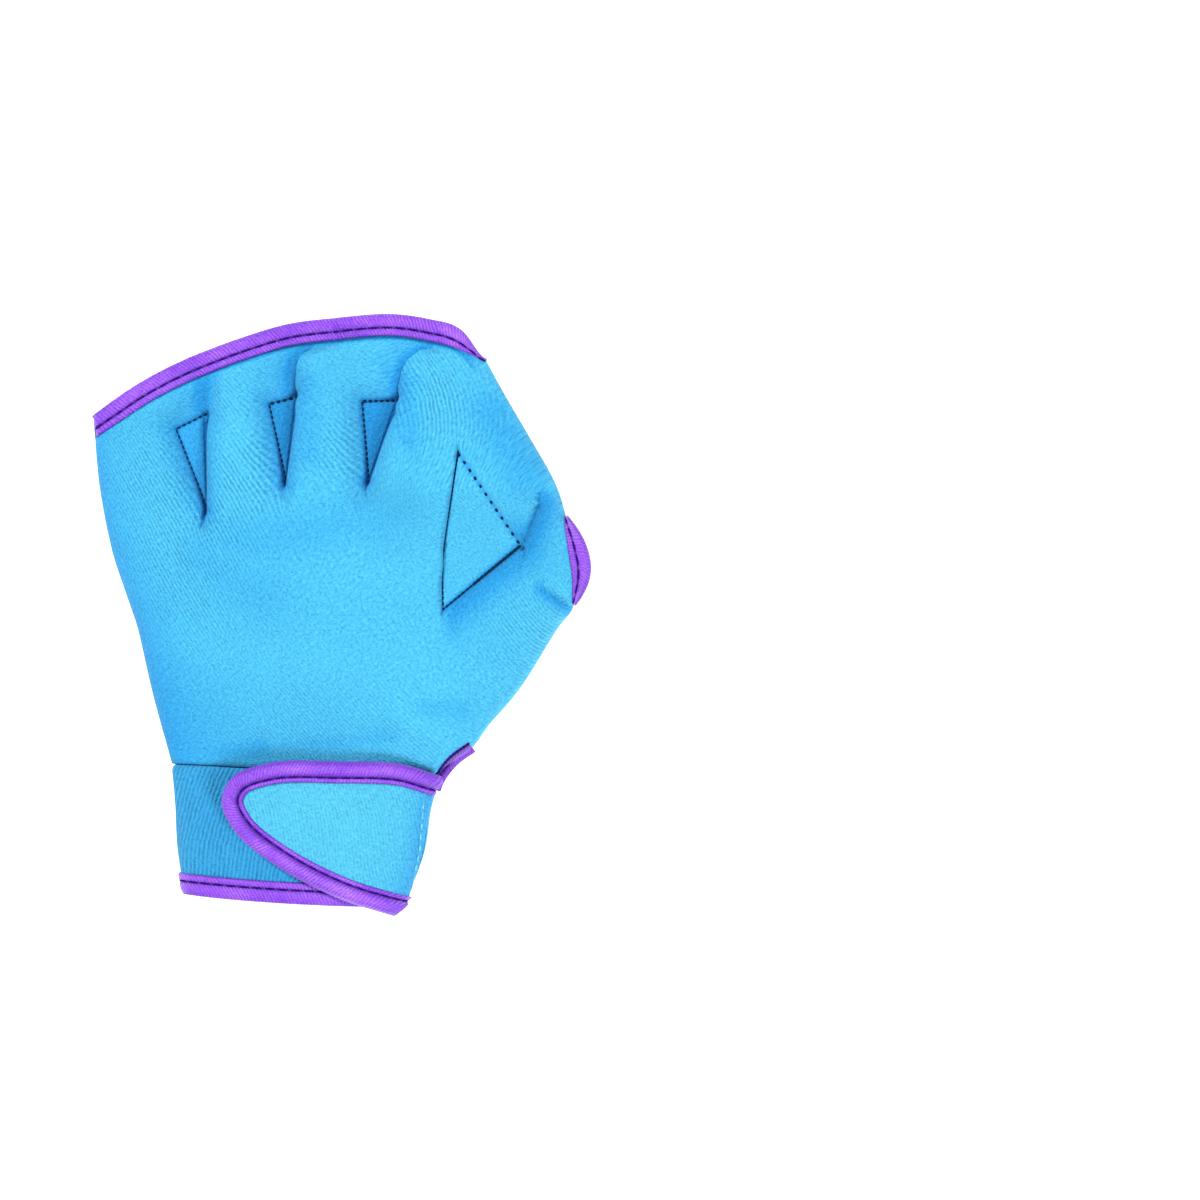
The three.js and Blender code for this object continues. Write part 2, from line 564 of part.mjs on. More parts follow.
function tabRings() {
  const corners = TAB_OUTLINE.map(({ across, along }, i) => {
    const y = -along * CUFF_HEIGHT;
    const { middle, half } = ovalAt(y);
    const atStart = i === 0 || i === TAB_OUTLINE.length - 1;
    return new THREE.Vector3(atStart ? tabStartX(y) : middle + across * half, y, 0);
  });
  const curve = new THREE.CatmullRomCurve3(corners);
  const points = curve.getSpacedPoints(TAB_STEPS).map((p) => new THREE.Vector2(p.x, p.y));
  const outs = edgeDirections(points).map((out) => out.negate());
  const inset = points.map((p, i) => p.clone().addScaledVector(outs[i], -TAPE_LEG));
  const spine = inset.map((p, i) => p.clone().add(inset[TAB_STEPS - i]).multiplyScalar(0.5));
  [inset[0], inset[TAB_STEPS], spine[0], spine[TAB_STEPS]].forEach((p) => { p.x = tabStartX(p.y); });
  const raise = (list) => list.map((p) => {
    const { outer, normal } = onTab(p.x, p.y);
    return { outer, normal, inner: outer.clone().addScaledVector(normal, -WALL) };
  });
  return { edge: raise(points), inset: raise(inset), spine: raise(spine), outs };
}

function tabMesh(rings) {
  const list = [];
  for (let i = 0; i < TAB_STEPS; i += 1) {
    const pairs = [[rings.edge, rings.inset], [rings.inset, rings.spine]];
    pairs.forEach(([a, b]) => {
      addQuad(list, b[i].outer, a[i].outer, a[i + 1].outer, b[i + 1].outer);
      addQuad(list, b[i + 1].inner, a[i + 1].inner, a[i].inner, b[i].inner);
    });
    addQuad(list, rings.edge[i].inner, rings.edge[i + 1].inner, rings.edge[i + 1].outer, rings.edge[i].outer);
  }
  const end = [rings.edge[0], rings.inset[0], rings.spine[0], rings.inset[TAB_STEPS], rings.edge[TAB_STEPS]];
  for (let i = 0; i < end.length - 1; i += 1) {
    addQuad(list, end[i].outer, end[i + 1].outer, end[i + 1].inner, end[i].inner);
  }
  return closedMesh('closure_tab', list, BLUE);
}

function tabBinding(rings) {
  const stations = rings.edge.map((edge, i) => ({
    topFar: rings.inset[i].outer, topEdge: edge.outer, lowEdge: edge.inner, lowFar: rings.inset[i].inner,
    off: edge.normal, offFar: rings.inset[i].normal,
    out: new THREE.Vector3(rings.outs[i].x, rings.outs[i].y, 0),
  }));
  return tapeMesh('tab_binding', stations, PURPLE);
}

// The fastening pad lies between the band and the tab
function hookPatch() {
  const { left, right, top, lowLeft, lowRight } = PATCH_CORNERS;
  const rows = [];
  for (let i = 0; i <= PATCH_CELLS.down; i += 1) {
    const row = [];
    for (let j = 0; j <= PATCH_CELLS.across; j += 1) {
      const low = mix(lowLeft, lowRight, j / PATCH_CELLS.across);
      const y = -CUFF_HEIGHT * mix(low, top, i / PATCH_CELLS.down);
      const { middle, half } = ovalAt(y);
      row.push(onTab(middle + mix(left, right, j / PATCH_CELLS.across) * half, y));
    }
    rows.push(row);
  }
  const lower = ({ outer, normal }, depth) => outer.clone().addScaledVector(normal, -depth);
  const face = (depth) => rows.map((row) => row.map((point) => lower(point, depth)));
  return wallMesh('hook_patch', face(WALL + GAP), face(WALL + GAP + PATCH_THICKNESS), PAD_GREY);
}

// The whole glove
const back = panelGrids(false);
const palm = panelGrids(true);
const band = bandGrids();
const tab = tabRings();
const { from, to } = THUMB_OPENING;

const pieces = [
  wallMesh('back_panel', back.outer, back.inner, BLUE),
  wallMesh('palm_panel', palm.inner, palm.outer, BLACK),
  fingerBinding('top_binding_back', back, false),
  fingerBinding('top_binding_palm', palm, true),
  tapeMesh('thumb_binding_back', sideStations(back, back, from, to, 'outer', 'inner'), PURPLE),
  tapeMesh('thumb_binding_palm', sideStations(palm, palm, from, to, 'inner', 'outer'), PURPLE),
  wallMesh('cuff_band', band.outer, band.inner, DEEP_BLUE),
  cuffBinding(band),
  tabMesh(tab),
  tabBinding(tab),
  hookPatch(),
  tapeMesh('slit_binding', sideStations(back, palm, 0, SLIT_TOP, 'outer', 'outer'), PURPLE),
];

// The origin is at the middle of the footprint, on the ground
const placed = new THREE.Group();
pieces.forEach((piece) => placed.add(piece));
const box = new THREE.Box3().setFromObject(placed);
const centre = box.getCenter(new THREE.Vector3());
placed.position.set(-centre.x, -centre.y, -box.min.z);

const glove = new THREE.Group();
glove.add(placed);

export default glove;
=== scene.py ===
# The looks of a webbed swim glove for the left hand, lying palm down on a pale floor.
# The cloth is modelled in the glove's own plan, in millimetres, with the wrist seam at y 0 and the
# middle of the wrist at x 0. The last step moves it to the frame and turns it into metres.
import math

import bpy
import numpy as np
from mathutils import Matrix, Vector


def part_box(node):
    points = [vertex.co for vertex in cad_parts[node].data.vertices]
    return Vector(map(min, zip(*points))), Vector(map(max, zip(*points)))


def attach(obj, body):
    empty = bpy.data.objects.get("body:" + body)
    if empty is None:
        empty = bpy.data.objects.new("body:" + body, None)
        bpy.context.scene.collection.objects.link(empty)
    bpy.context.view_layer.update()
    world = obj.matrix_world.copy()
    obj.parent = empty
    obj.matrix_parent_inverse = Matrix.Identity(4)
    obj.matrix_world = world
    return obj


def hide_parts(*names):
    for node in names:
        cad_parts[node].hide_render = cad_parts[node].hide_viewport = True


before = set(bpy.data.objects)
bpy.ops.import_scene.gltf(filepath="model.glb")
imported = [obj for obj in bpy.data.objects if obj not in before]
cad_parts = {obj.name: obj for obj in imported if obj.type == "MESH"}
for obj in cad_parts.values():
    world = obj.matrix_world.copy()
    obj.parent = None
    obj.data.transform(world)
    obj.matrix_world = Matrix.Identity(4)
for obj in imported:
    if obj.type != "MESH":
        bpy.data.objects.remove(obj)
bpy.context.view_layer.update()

MM = 0.001

# Sizes of the glove
HAND_LENGTH = 150.0
HAND_WIDTH = 166.0
CUFF_WIDTH = 91.0
CUFF_HEIGHT = 45.0
CUFF_THICKNESS = 20.0
SEAM_HEIGHT = 10.0
PUFF = 12.0
PALM_PUFF = 10.0
WALL = 2.0
GAP = 0.3
TAPE_WALL = 0.8
TAPE_WIDTH = 7.3
PATCH_THICKNESS = 2.8
SIDE_ROUND = 9.0
WEB_ROUND_LITTLE = 6.0
WEB_ROUND_THUMB = 2.6
THUMB_WEB_ROUND = 1.5
THUMB_FLOOR = 0.8
VALLEY_DEPTH = 0.42
THUMB_BULGE = 5.3
THUMB_MOUTH = 4.0
PALM_DROP = 6.5
EDGE_DROP = 3.0
SEAM_RISE = 1.5
SLIT_CORNER = 3.2
SLIT_CORNER_ALONG = 0.065
REST_EASE = 1.2

HALF_GAP = GAP / 2
TAPE_STAND = GAP + TAPE_WALL
TAPE_LEG = TAPE_WIDTH - TAPE_STAND
OPENING_LIFT = TAPE_STAND + 0.2
BAND_BASE = TAPE_STAND
TAB_LIFT = WALL + PATCH_THICKNESS + 2 * GAP
PALM_LIMIT = SEAM_HEIGHT - HALF_GAP - WALL
BAND_HALF = CUFF_THICKNESS / 2
TAB_HALF = BAND_HALF + TAB_LIFT / 2

# Lines across the hand, as shares. The first row is of the cuff's width, the others of the hand's width.
COLUMNS = ("left", "web1", "web1_end", "web2", "web2_end", "web3", "web3_end", "thumb", "thumb_end", "right")
SECTION_ALONG = (0, 0.18, 0.363, 0.42, 0.562, 0.635, 0.718, 0.83, 1)
SECTION_SIZE = (CUFF_WIDTH,) + (HAND_WIDTH,) * 8
SECTIONS = {
    "left": (-0.5, -0.312, -0.343, -0.356, -0.388, -0.4, -0.411, -0.422, -0.43),
    "web1": (-0.344, -0.204, -0.216, -0.216, -0.216, -0.21, -0.234, -0.262, -0.244),
    "web1_end": (-0.308, -0.182, -0.194, -0.196, -0.198, -0.2, -0.202, -0.204, -0.186),
    "web2": (-0.168, -0.088, -0.072, -0.068, -0.058, -0.052, -0.06, -0.076, -0.042),
    "web2_end": (-0.132, -0.064, -0.05, -0.046, -0.04, -0.04, -0.034, -0.022, 0.02),
    "web3": (0.015, 0.044, 0.08, 0.086, 0.1, 0.114, 0.112, 0.112, 0.136),
    "web3_end": (0.051, 0.066, 0.1, 0.106, 0.118, 0.126, 0.156, 0.174, 0.234),
    "thumb": (0.205, 0.184, 0.266, 0.264, 0.266, 0.278, 0.288, 0.264, 0.284),
    "thumb_end": (0.293, 0.214, 0.282, 0.326, 0.426, 0.368, 0.304, 0.304, 0.314),
    "right": (0.455, 0.403, 0.502, 0.534, 0.526, 0.518, 0.496, 0.444, 0.358),
}
CROWN_BACK = (0.9, 0.98, 1, 1, 0.94, 0.88, 0.82, 0.72, 0.55)
CROWN_PALM = (0.9, 1, 1, 1, 0.92, 0.82, 0.72, 0.6, 0.42)
OPENING_FROM = 0.42
OPENING_TO = 0.635

# The finger rim, shares of the hand's width and length
RIM_ACROSS = (-0.436, -0.336, -0.236, -0.136, -0.036, 0.064, 0.164, 0.244, 0.304, 0.356, 0.56)
RIM_ALONG = (0.771, 0.846, 0.903, 0.945, 0.978, 0.992, 1, 0.989, 0.968, 0.906, 0.89)

# The wrist band's sides, shares of the cuff's width down its height
BAND_ALONG = (0, 0.3, 0.65, 1)
BAND_LEFT = (-0.5, -0.484, -0.477, -0.443)
BAND_RIGHT = (0.5, 0.452, 0.422, 0.36)
BAND_FROM = 50
BAND_TO = 367
WRIST_TAPE_TO = 348
OVAL = 3
BACK_EDGE_RISE = 0.09

# The tab's outline, shares of the oval's half width and of the cuff's height below the seam
TAB_OUTLINE = (
    (0.95, 0.07), (0.676, -0.015), (0.235, -0.033), (-0.243, -0.026), (-0.52, 0.074),
    (-0.6, 0.235), (-0.497, 0.449), (-0.17, 0.69), (0.374, 0.924), (0.95, 1.08),
)


# Small tools for arrays
def smooth(t):
    t = np.clip(t, 0, 1)
    return t * t * (3 - 2 * t)


def mix(a, b, t):
    return a + (b - a) * t


def unit(vectors):
    return vectors / np.maximum(np.linalg.norm(vectors, axis=-1, keepdims=True), 1e-9)


def curved(places, values, at):
    """Reads a table on one smooth curve through its rows."""
    xs = np.asarray(places, float)
    ys = np.asarray(values, float)
    at = np.clip(np.asarray(at, float), xs[0], xs[-1])
    i = np.clip(np.searchsorted(xs, at, side="left") - 1, 0, len(xs) - 2)
    before = np.maximum(i - 1, 0)
    after = np.minimum(i + 2, len(xs) - 1)
    span = xs[i + 1] - xs[i]
    t = (at - xs[i]) / span
    slope_a = (ys[i + 1] - ys[before]) / (xs[i + 1] - xs[before])
    slope_b = (ys[after] - ys[i]) / (xs[after] - xs[i])
    t2 = t * t
    t3 = t2 * t
    start = (2 * t3 - 3 * t2 + 1) * ys[i] + (t3 - 2 * t2 + t) * span * slope_a
    return start + (3 * t2 - 2 * t3) * ys[i + 1] + (t3 - t2) * span * slope_b


# The plan of the hand
def section_x(name):
    return np.array(SECTIONS[name]) * np.array(SECTION_SIZE)


def rim_y(x):
    return curved(np.array(RIM_ACROSS) * HAND_WIDTH, np.array(RIM_ALONG) * HAND_LENGTH, x)


def wrist_y(x, palm):
    share = np.clip(x / CUFF_WIDTH + 0.5, 0, 1)
    rise = SEAM_RISE * (1 - smooth(share / 0.4))
    if palm:
        return rise - PALM_DROP * np.sin(math.pi * share) - EDGE_DROP * share
    return rise - EDGE_DROP * smooth((share - 0.88) / 0.12)


def thumb_window(along):
    t = (along - OPENING_FROM) / (OPENING_TO - OPENING_FROM)
    return np.where((t > 0) & (t < 1), np.sin(math.pi * np.clip(t, 0, 1)), 0)


def left_x(along):
    return curved(SECTION_ALONG, section_x("left"), along)


def right_x(along):
    corner = SLIT_CORNER * np.exp(-(((along - SLIT_CORNER_ALONG) / 0.045) ** 2))
    return curved(SECTION_ALONG, section_x("right"), along) + THUMB_BULGE * thumb_window(along) + corner


def column_x(name, along):
    if name == "left":
        return left_x(along)
    if name == "right":
        return right_x(along)
    return np.interp(along, SECTION_ALONG, section_x(name))


def y_at(x, along, palm):
    return mix(wrist_y(x, palm), rim_y(x), along)


def along_at(x, y, palm):
    low = wrist_y(x, palm)
    return np.clip((y - low) / (rim_y(x) - low), 0, 1)


def at_px(px, py):
    """A place of the photograph, which has three pixels to the millimetre, in the glove's plan."""
    return np.array([(px - 308) / 3, (768 - py) / 3])


# The webs' floors in pixels of the photograph: the two upper corners and the tip. Then the way of the valley
# that runs on from the second corner.
WEB_PLACES = (
    ((176, 429), (208, 413), (209, 513)),
    ((269, 404), (300, 396), (287, 485)),
    ((362, 401), (401, 400), (369, 484)),
)
VALLEY_PLACES = (
    ((207, 398), (208, 381), (214, 362)),
    ((299, 381), (300, 366), (307, 353), (319, 344), (336, 337)),
    ((402, 387), (404, 373), (411, 361), (424, 352), (438, 344)),
)
THUMB_WEB_PLACES = ((457, 451), (521, 546), (442, 611), (441, 562))

# Painted shade of each web: how dark it is on the floor, in the valley above it and beside the web.
WEB_SHADES = (0.4, 0.8, 0.76)
WEB_VALLEY_SHADES = (0.78, 1.0, 0.98)
# How far the valley's painted shade reaches on the thumb side, which also widens the valley's fold, and on the other
# side.
WEB_EDGES = (3.4, 0.7, 0.7)
WEB_SIDE_SHADES = (0.32, 0.32, 0.1)
WEB_REACH = (4.4, 4.8, 3.2)
LIP_OVER = np.array([1.6, 0.0])

WEBS = []
for k, (places, ways) in enumerate(zip(WEB_PLACES, VALLEY_PLACES)):
    corners = [at_px(*place) for place in places]
    valley = [corners[1]] + [at_px(*place) for place in ways]
    web = {"corners": corners, "valley": valley, "shade": WEB_SHADES[k], "fold": WEB_VALLEY_SHADES[k]}
    web.update({"edge": WEB_EDGES[k], "side": WEB_SIDE_SHADES[k], "reach": WEB_REACH[k]})
    WEBS.append(web)
THUMB_WEB = [at_px(*place) for place in THUMB_WEB_PLACES]


def line_distance(x, y, a, b):
    d = b - a
    t = np.clip(((x - a[0]) * d[0] + (y - a[1]) * d[1]) / (d @ d), 0, 1)
    return np.hypot(x - a[0] - t * d[0], y - a[1] - t * d[1])


def route_distance(x, y, route):
    """The distance to the nearest line of a route of several points."""
    nearest = line_distance(x, y, route[0], route[1])
    for start, end in zip(route[1:], route[2:]):
        nearest = np.minimum(nearest, line_distance(x, y, start, end))
    return nearest


def route_x(y, route):
    """Where a route that runs up or down the hand passes at a height."""
    rising = sorted(route, key=lambda place: place[1])
    return np.interp(y, [place[1] for place in rising], [place[0] for place in rising])


def web_distance(x, y, corners):
    """The distance outside a web's floor, and 0 within it."""
    def side(p, q):
        return (q[0] - p[0]) * (y - p[1]) - (q[1] - p[1]) * (x - p[0])

    closed = list(corners) + [corners[0]]
    turns = np.stack([side(p, q) for p, q in zip(closed, closed[1:])])
    inside = (turns <= 0).all(0) | (turns >= 0).all(0)
    return np.where(inside, 0, route_distance(x, y, closed))


def web_rise(x, y, corners, little=WEB_ROUND_LITTLE):
    middle = sum(corner[0] for corner in corners) / len(corners)
    to_thumb = smooth((x - middle) / (2 * WEB_ROUND_LITTLE) + 0.5)
    width = mix(little, WEB_ROUND_THUMB, to_thumb)
    return 1 - np.exp(-(web_distance(x, y, corners) / width) ** mix(1.25, 1.0, to_thumb))


def valley_factor(x, y, route, edge):
    """A fold that runs from a web to the rim, steep on the thumb side and gentle on the other."""
    right = smooth((x - route_x(y, route)) / 3 + 0.5)
    width = mix(6.5, 2 + edge, right)
    near = route_distance(x, y, route) / width
    fade = 1 - 0.5 * smooth((y - route[0][1]) / (route[-1][1] - route[0][1]))
    return 1 - (VALLEY_DEPTH + 0.28) * fade * np.exp(-near * near)


def side_rise(distance):
    return (1 - np.exp(-np.maximum(0, distance) / SIDE_ROUND)) ** 0.6


def oval_at(y):
    along = np.clip(-np.asarray(y, float) / CUFF_HEIGHT, 0, 1)
    left = curved(BAND_ALONG, BAND_LEFT, along) * CUFF_WIDTH
    right = curved(BAND_ALONG, BAND_RIGHT, along) * CUFF_WIDTH
    return (left + right) / 2, (right - left) / 2


def oval_rise(share):
    return (1 - np.minimum(1, np.abs(share)) ** OVAL) ** (1 / OVAL)


def puff(x, y, palm):
    along = along_at(x, y, palm)
    crown = curved(SECTION_ALONG, CROWN_PALM if palm else CROWN_BACK, along) * (PALM_PUFF if palm else PUFF)
    mouth = THUMB_MOUTH * thumb_window(along)
    rise = side_rise(x - left_x(along)) * side_rise(right_x(along) - x + mouth)
    for web in WEBS:
        rise = rise * web_rise(x, y, web["corners"]) * valley_factor(x, y, web["valley"], web["edge"])
    thumb_rise = web_rise(x, y, THUMB_WEB, THUMB_WEB_ROUND)
    rise = rise * (thumb_rise if palm else mix(THUMB_FLOOR, 1, thumb_rise))
    middle = (left_x(along) + right_x(along)) / 2
    half = (right_x(along) - left_x(along)) / 2
    oval = oval_rise((x - middle) / half) * BAND_HALF
    level = SEAM_HEIGHT + (-1 if palm else 1) * (HALF_GAP + WALL)
    wrist = level - (BAND_BASE + BAND_HALF - oval) if palm else BAND_BASE + BAND_HALF + oval - level
    return mix(np.maximum(0, wrist), crown * rise, smooth(along / 0.25))


def rest_flat(height):
    """The palm eases into its flat rest."""
    eased = height - (height - PALM_LIMIT + REST_EASE) ** 2 / (4 * REST_EASE)
    eased = np.where(height <= PALM_LIMIT - REST_EASE, height, eased)
    return np.where(height >= PALM_LIMIT + REST_EASE, PALM_LIMIT, eased)


def opening_lift(x, y, palm):
    along = along_at(x, y, palm)

    def near(distance):
        return 1 - smooth((distance - TAPE_WIDTH - 1) / TAPE_WIDTH)

    outside = np.maximum(np.maximum(OPENING_FROM - along, along - OPENING_TO), 0)
    thumb = near(right_x(along) - x) * (1 - smooth(outside / 0.04))
    return OPENING_LIFT * np.maximum(near((rim_y(x) - y) * 0.9), thumb)


# Small folds of the back and soft patches of painted shade: where each starts and ends in pixels of the photograph,
# its widths on the little-finger side and on the thumb side, its depth, none for a patch, and how dark its painted
# shade is
FOLDS_AND_PAINTED_SHADES = (
    ((537, 507), (523, 543), 0.6, 6.5, 2.4, 0.85),
    ((543, 589), (572, 610), 2.6, 0.6, 2.2, 0.6),
    ((200, 753), (262, 748), 4.5, 4.5, 0.5, 0.36),
    ((285, 744), (345, 742), 2.4, 2.4, 0.45, 0.2),
    ((345, 742), (392, 737), 2.4, 2.4, 0.45, 0.2),
    ((335, 717), (395, 717), 3.0, 3.0, -0.6, 0.0),
    ((405, 722), (440, 740), 3.2, 3.2, -0.6, 0.0),
    ((425, 708), (462, 710), 3.4, 3.4, 0.5, 0.2),
    ((208, 508), (203, 526), 0.8, 0.8, 1.2, 0.6),
    ((448, 470), (440, 430), 3.0, 3.0, 0.5, 0.0),
    ((240, 500), (232, 470), 4.0, 4.0, 0.35, 0.0),
    ((453, 458), (440, 540), 2.6, 0.6, -0.8, 0.0),
    ((440, 540), (437, 590), 2.6, 0.6, -0.9, 0.0),
    ((240, 540), (385, 520), 9.0, 9.0, 0.0, 0.22),
    ((205, 555), (262, 597), 9.0, 9.0, 0.0, 0.17),
    ((311, 385), (309, 455), 4.2, 4.2, 0.0, 0.28),
    ((411, 385), (410, 440), 4.0, 4.0, 0.0, 0.3),
    ((492, 412), (528, 474), 8.5, 8.5, 0.0, 0.34),
)


def fold_shapes(x, y):
    """How much of each small fold or patch of painted shade lies at a place, as a share, with its depth and the
    darkness of its painted shade.
    """
    for start, end, left, right, depth, dark in FOLDS_AND_PAINTED_SHADES:
        a = at_px(*start)
        b = at_px(*end)
        line_x = np.interp(y, (b[1], a[1]), (b[0], a[0]))
        width = np.where(x > line_x, right, left)
        yield np.exp(-((line_distance(x, y, a, b) / width) ** 2)), depth, dark


def small_folds(x, y):
    return sum(share * depth for share, depth, _ in fold_shapes(x, y))


def puckers(x, y):
    """Short ripples where the cloth is gathered under the finger rim."""
    below = (rim_y(x) - y) * 0.9 - TAPE_LEG
    fade = np.exp(-np.maximum(0, below) / 7)
    wave = np.sin(x * 1.15 + 1.3 * np.sin(x * 0.21) + 0.12 * y)
    strength = mix(0.22, 0.1, smooth((x + 40) / 50))
    return strength * wave * fade


def web_trench(x, y):
    """The stitch line round each web lies a little under the floor of the web."""
    nearest = np.full(np.shape(x), 99.0)
    for corners in [web["corners"] for web in WEBS] + [THUMB_WEB]:
        nearest = np.minimum(nearest, route_distance(x, y, list(corners) + [corners[0]]))
    return 0.7 * np.exp(-((nearest / 0.8) ** 2))


def edge_distance(x, y, palm):
    """How far a place is from a seam that isn't bound with tape."""
    along = along_at(x, y, palm)
    open_thumb = (along > OPENING_FROM) & (along < OPENING_TO)
    right = np.where(open_thumb, 99.0, right_x(along) - x)
    sides = np.minimum(x - left_x(along), right) * 0.95
    sides = np.where(along > 0.96, 99.0, sides)
    return np.minimum(sides, y - wrist_y(x, palm))


def cloth_levels(x, y, palm):
    """Heights of a panel's outer and inner face."""
    def height(px, py):
        if palm:
            return rest_flat(puff(px, py, True))
        return puff(px, py, False)

    lift = opening_lift(x, y, palm)
    h = height(x, y)
    if palm:
        h = np.minimum(h, PALM_LIMIT - lift - TAPE_STAND * lift / OPENING_LIFT)
    step = 0.4
    slope_x = (height(x + step, y) - height(x - step, y)) / (2 * step)
    slope_y = (height(x, y + step) - height(x, y - step)) / (2 * step)
    steep = np.minimum(3, np.sqrt(1 + slope_x**2 + slope_y**2))
    pinch = np.sqrt(1 - np.exp(-(np.maximum(0, edge_distance(x, y, palm)) + 0.1) / 0.9))
    floor = HALF_GAP + lift
    thick = WALL * pinch
    outer = floor + thick + h
    if not palm:
        rise = smooth(h / 3)
        outer = outer - np.minimum(small_folds(x, y), 0.6 * h) * rise + puckers(x, y) * smooth(h / 2)
    outer = outer - np.minimum(web_trench(x, y), WALL * 0.4)
    inner = np.maximum(floor, outer - thick * steep)
    sign = -1 if palm else 1
    return SEAM_HEIGHT + sign * outer, SEAM_HEIGHT + sign * inner


# Walls of the webs that lean over them: the line, the way into the web, and how far
LEANS = [
    (WEBS[0]["corners"][1:], (-1, 0), 2.2),
    (WEBS[1]["corners"][1:], (-1, -0.1), 2.2),
    (WEBS[2]["corners"][1:], (-0.95, 0.25), 2.3),
    (WEBS[1]["valley"], (-0.9, 0.4), 2.4),
    (WEBS[2]["valley"], (-0.8, 0.55), 2.4),
    ([THUMB_WEB[0], THUMB_WEB[3]], (0.99, 0.1), 0.8),
    ([THUMB_WEB[3], THUMB_WEB[2]], (1, 0), 0.8),
]


def lean(x, y, height):
    """How far the cloth at a place leans over a web, in the plan."""
    shift_x = np.zeros(np.shape(x))
    shift_y = np.zeros(np.shape(x))
    rise = (1 - np.exp(-np.maximum(0, height) / 2.2)) * smooth(((rim_y(x) - y) * 0.9 - TAPE_WIDTH) / 3)
    for route, way, far in LEANS:
        behind = smooth(0.5 - np.sign(way[0]) * (x - route_x(y, route)) / 1.5)
        near = np.exp(-((route_distance(x, y, route) / 4.5) ** 2))
        amount = far * rise * near * behind
        shift_x = shift_x + way[0] * amount
        shift_y = shift_y + way[1] * amount
    return shift_x, shift_y


# The shade along the little-finger side: heights in the plan, how dark it is there and how far it reaches
SIDE_HEIGHTS = (16, 39, 72, 106, 125)
SIDE_DARK = (0.62, 0.6, 0.54, 0.54, 0.4)
SIDE_REACH = (18, 9, 7, 4.5, 4)


def painted_shade(x, y):
    """How much painted shade a place of the back gets, from 0 to 1, most of all in a finger's web, its stitch line
    and the valley above it.
    """
    darkest = np.zeros(np.shape(x))
    # Painted shade on each web's floor, stitch line and tip, in and beside the valley above it, beside the web, and a
    # painted shadow under its lip
    for web in WEBS:
        corners = web["corners"]
        floor = web["shade"] * np.exp(-((web_distance(x, y, corners) / 1.2) ** 2))
        seam = 1.0 * np.exp(-((route_distance(x, y, corners + corners[:1]) / 0.85) ** 2))
        tip = np.exp(-((np.hypot(x - corners[2][0], y - corners[2][1] - 1) / 2.6) ** 2))
        valley = [way - LIP_OVER * 0.5 for way in web["valley"]]
        left_side = smooth((route_x(y, valley) - x) / 1.2 + 0.5)
        fade = 1 - 0.25 * smooth((y - valley[0][1]) / (valley[-1][1] - valley[0][1]))
        reach = mix(web["edge"], web["reach"], left_side)
        fold = web["fold"] * fade * np.exp(-((route_distance(x, y, valley) / reach) ** 2))
        beside = web["side"] * np.exp(-((web_distance(x, y, corners) / 4.5) ** 2))
        broad = 0.28 * fade * left_side * np.exp(-((route_distance(x, y, valley) / 9) ** 2))
        lip = line_distance(x, y, corners[1] - LIP_OVER, corners[2] - LIP_OVER * 0.4)
        darkest = np.maximum.reduce([darkest, floor, seam, tip, fold, beside, broad, np.exp(-((lip / 1.1) ** 2))])
    # Painted shade along the thumb's web's stitch lines, a painted shadow under its lower edge, and painted shade
    # down the thumb's slope below it
    upper, lower = THUMB_WEB[:3], THUMB_WEB[2:] + THUMB_WEB[:1]
    seam = np.minimum(route_distance(x, y, upper), route_distance(x, y, lower))
    darkest = np.maximum(darkest, 0.45 * np.exp(-((seam / 0.6) ** 2)))
    shadow = route_distance(x, y, THUMB_WEB[1:3])
    to_side = np.clip((x - THUMB_WEB[2][0]) / (THUMB_WEB[1][0] - THUMB_WEB[2][0]), 0, 1)
    darkest = np.maximum(darkest, np.exp(-((shadow / mix(0.7, 1.5, to_side)) ** 2)))
    slope = 0.62 * np.exp(-((np.maximum(0, shadow - 1) / 7.5) ** 2)) * (web_distance(x, y, THUMB_WEB) > 0)
    darkest = np.maximum(darkest, slope * smooth((x - THUMB_WEB[2][0] + 2) / 7))
    # Painted shade along the little-finger side, then in the small folds and patches
    side = x - left_x(along_at(x, y, False))
    dark = np.interp(y, SIDE_HEIGHTS, SIDE_DARK) * np.exp(-side / np.interp(y, SIDE_HEIGHTS, SIDE_REACH))
    darkest = np.maximum(darkest, dark)
    for share, _, dark in fold_shapes(x, y):
        darkest = np.maximum(darkest, share * dark)
    # A painted shadow line just under the finger tape
    under_tape = (rim_y(x) - y) * 0.9 - TAPE_LEG
    line = np.exp(-((np.maximum(0, under_tape) / 0.6) ** 2)) * smooth((x - rim_end_x()) / -12)
    return np.maximum(darkest, line)


# Where the knit's ribs show: a place in pixels of the photograph, how wide the patch is and how strong
RIB_PATCHES = (
    (140, 470, 18, 0.5), (165, 540, 20, 0.6), (195, 600, 18, 0.5), (255, 475, 12, 0.9), (240, 520, 13, 0.6),
    (345, 450, 12, 0.7), (430, 395, 14, 0.9), (480, 440, 14, 0.3), (540, 480, 12, 0.35), (540, 630, 16, 0.7),
    (455, 480, 10, 0.4), (230, 400, 10, 0.4), (300, 745, 20, 0.5), (400, 740, 16, 0.4),
)


def rib_strength(x, y):
    strength = np.full(np.shape(x), 0.1)
    for px, py, width, amount in RIB_PATCHES:
        centre = at_px(px, py)
        strength = strength + amount * np.exp(-(np.hypot(x - centre[0], y - centre[1]) / width) ** 2)
    return np.minimum(strength, 1) * (1 - painted_shade(x, y))


def rim_end_x():
    return float(right_x(1.0))


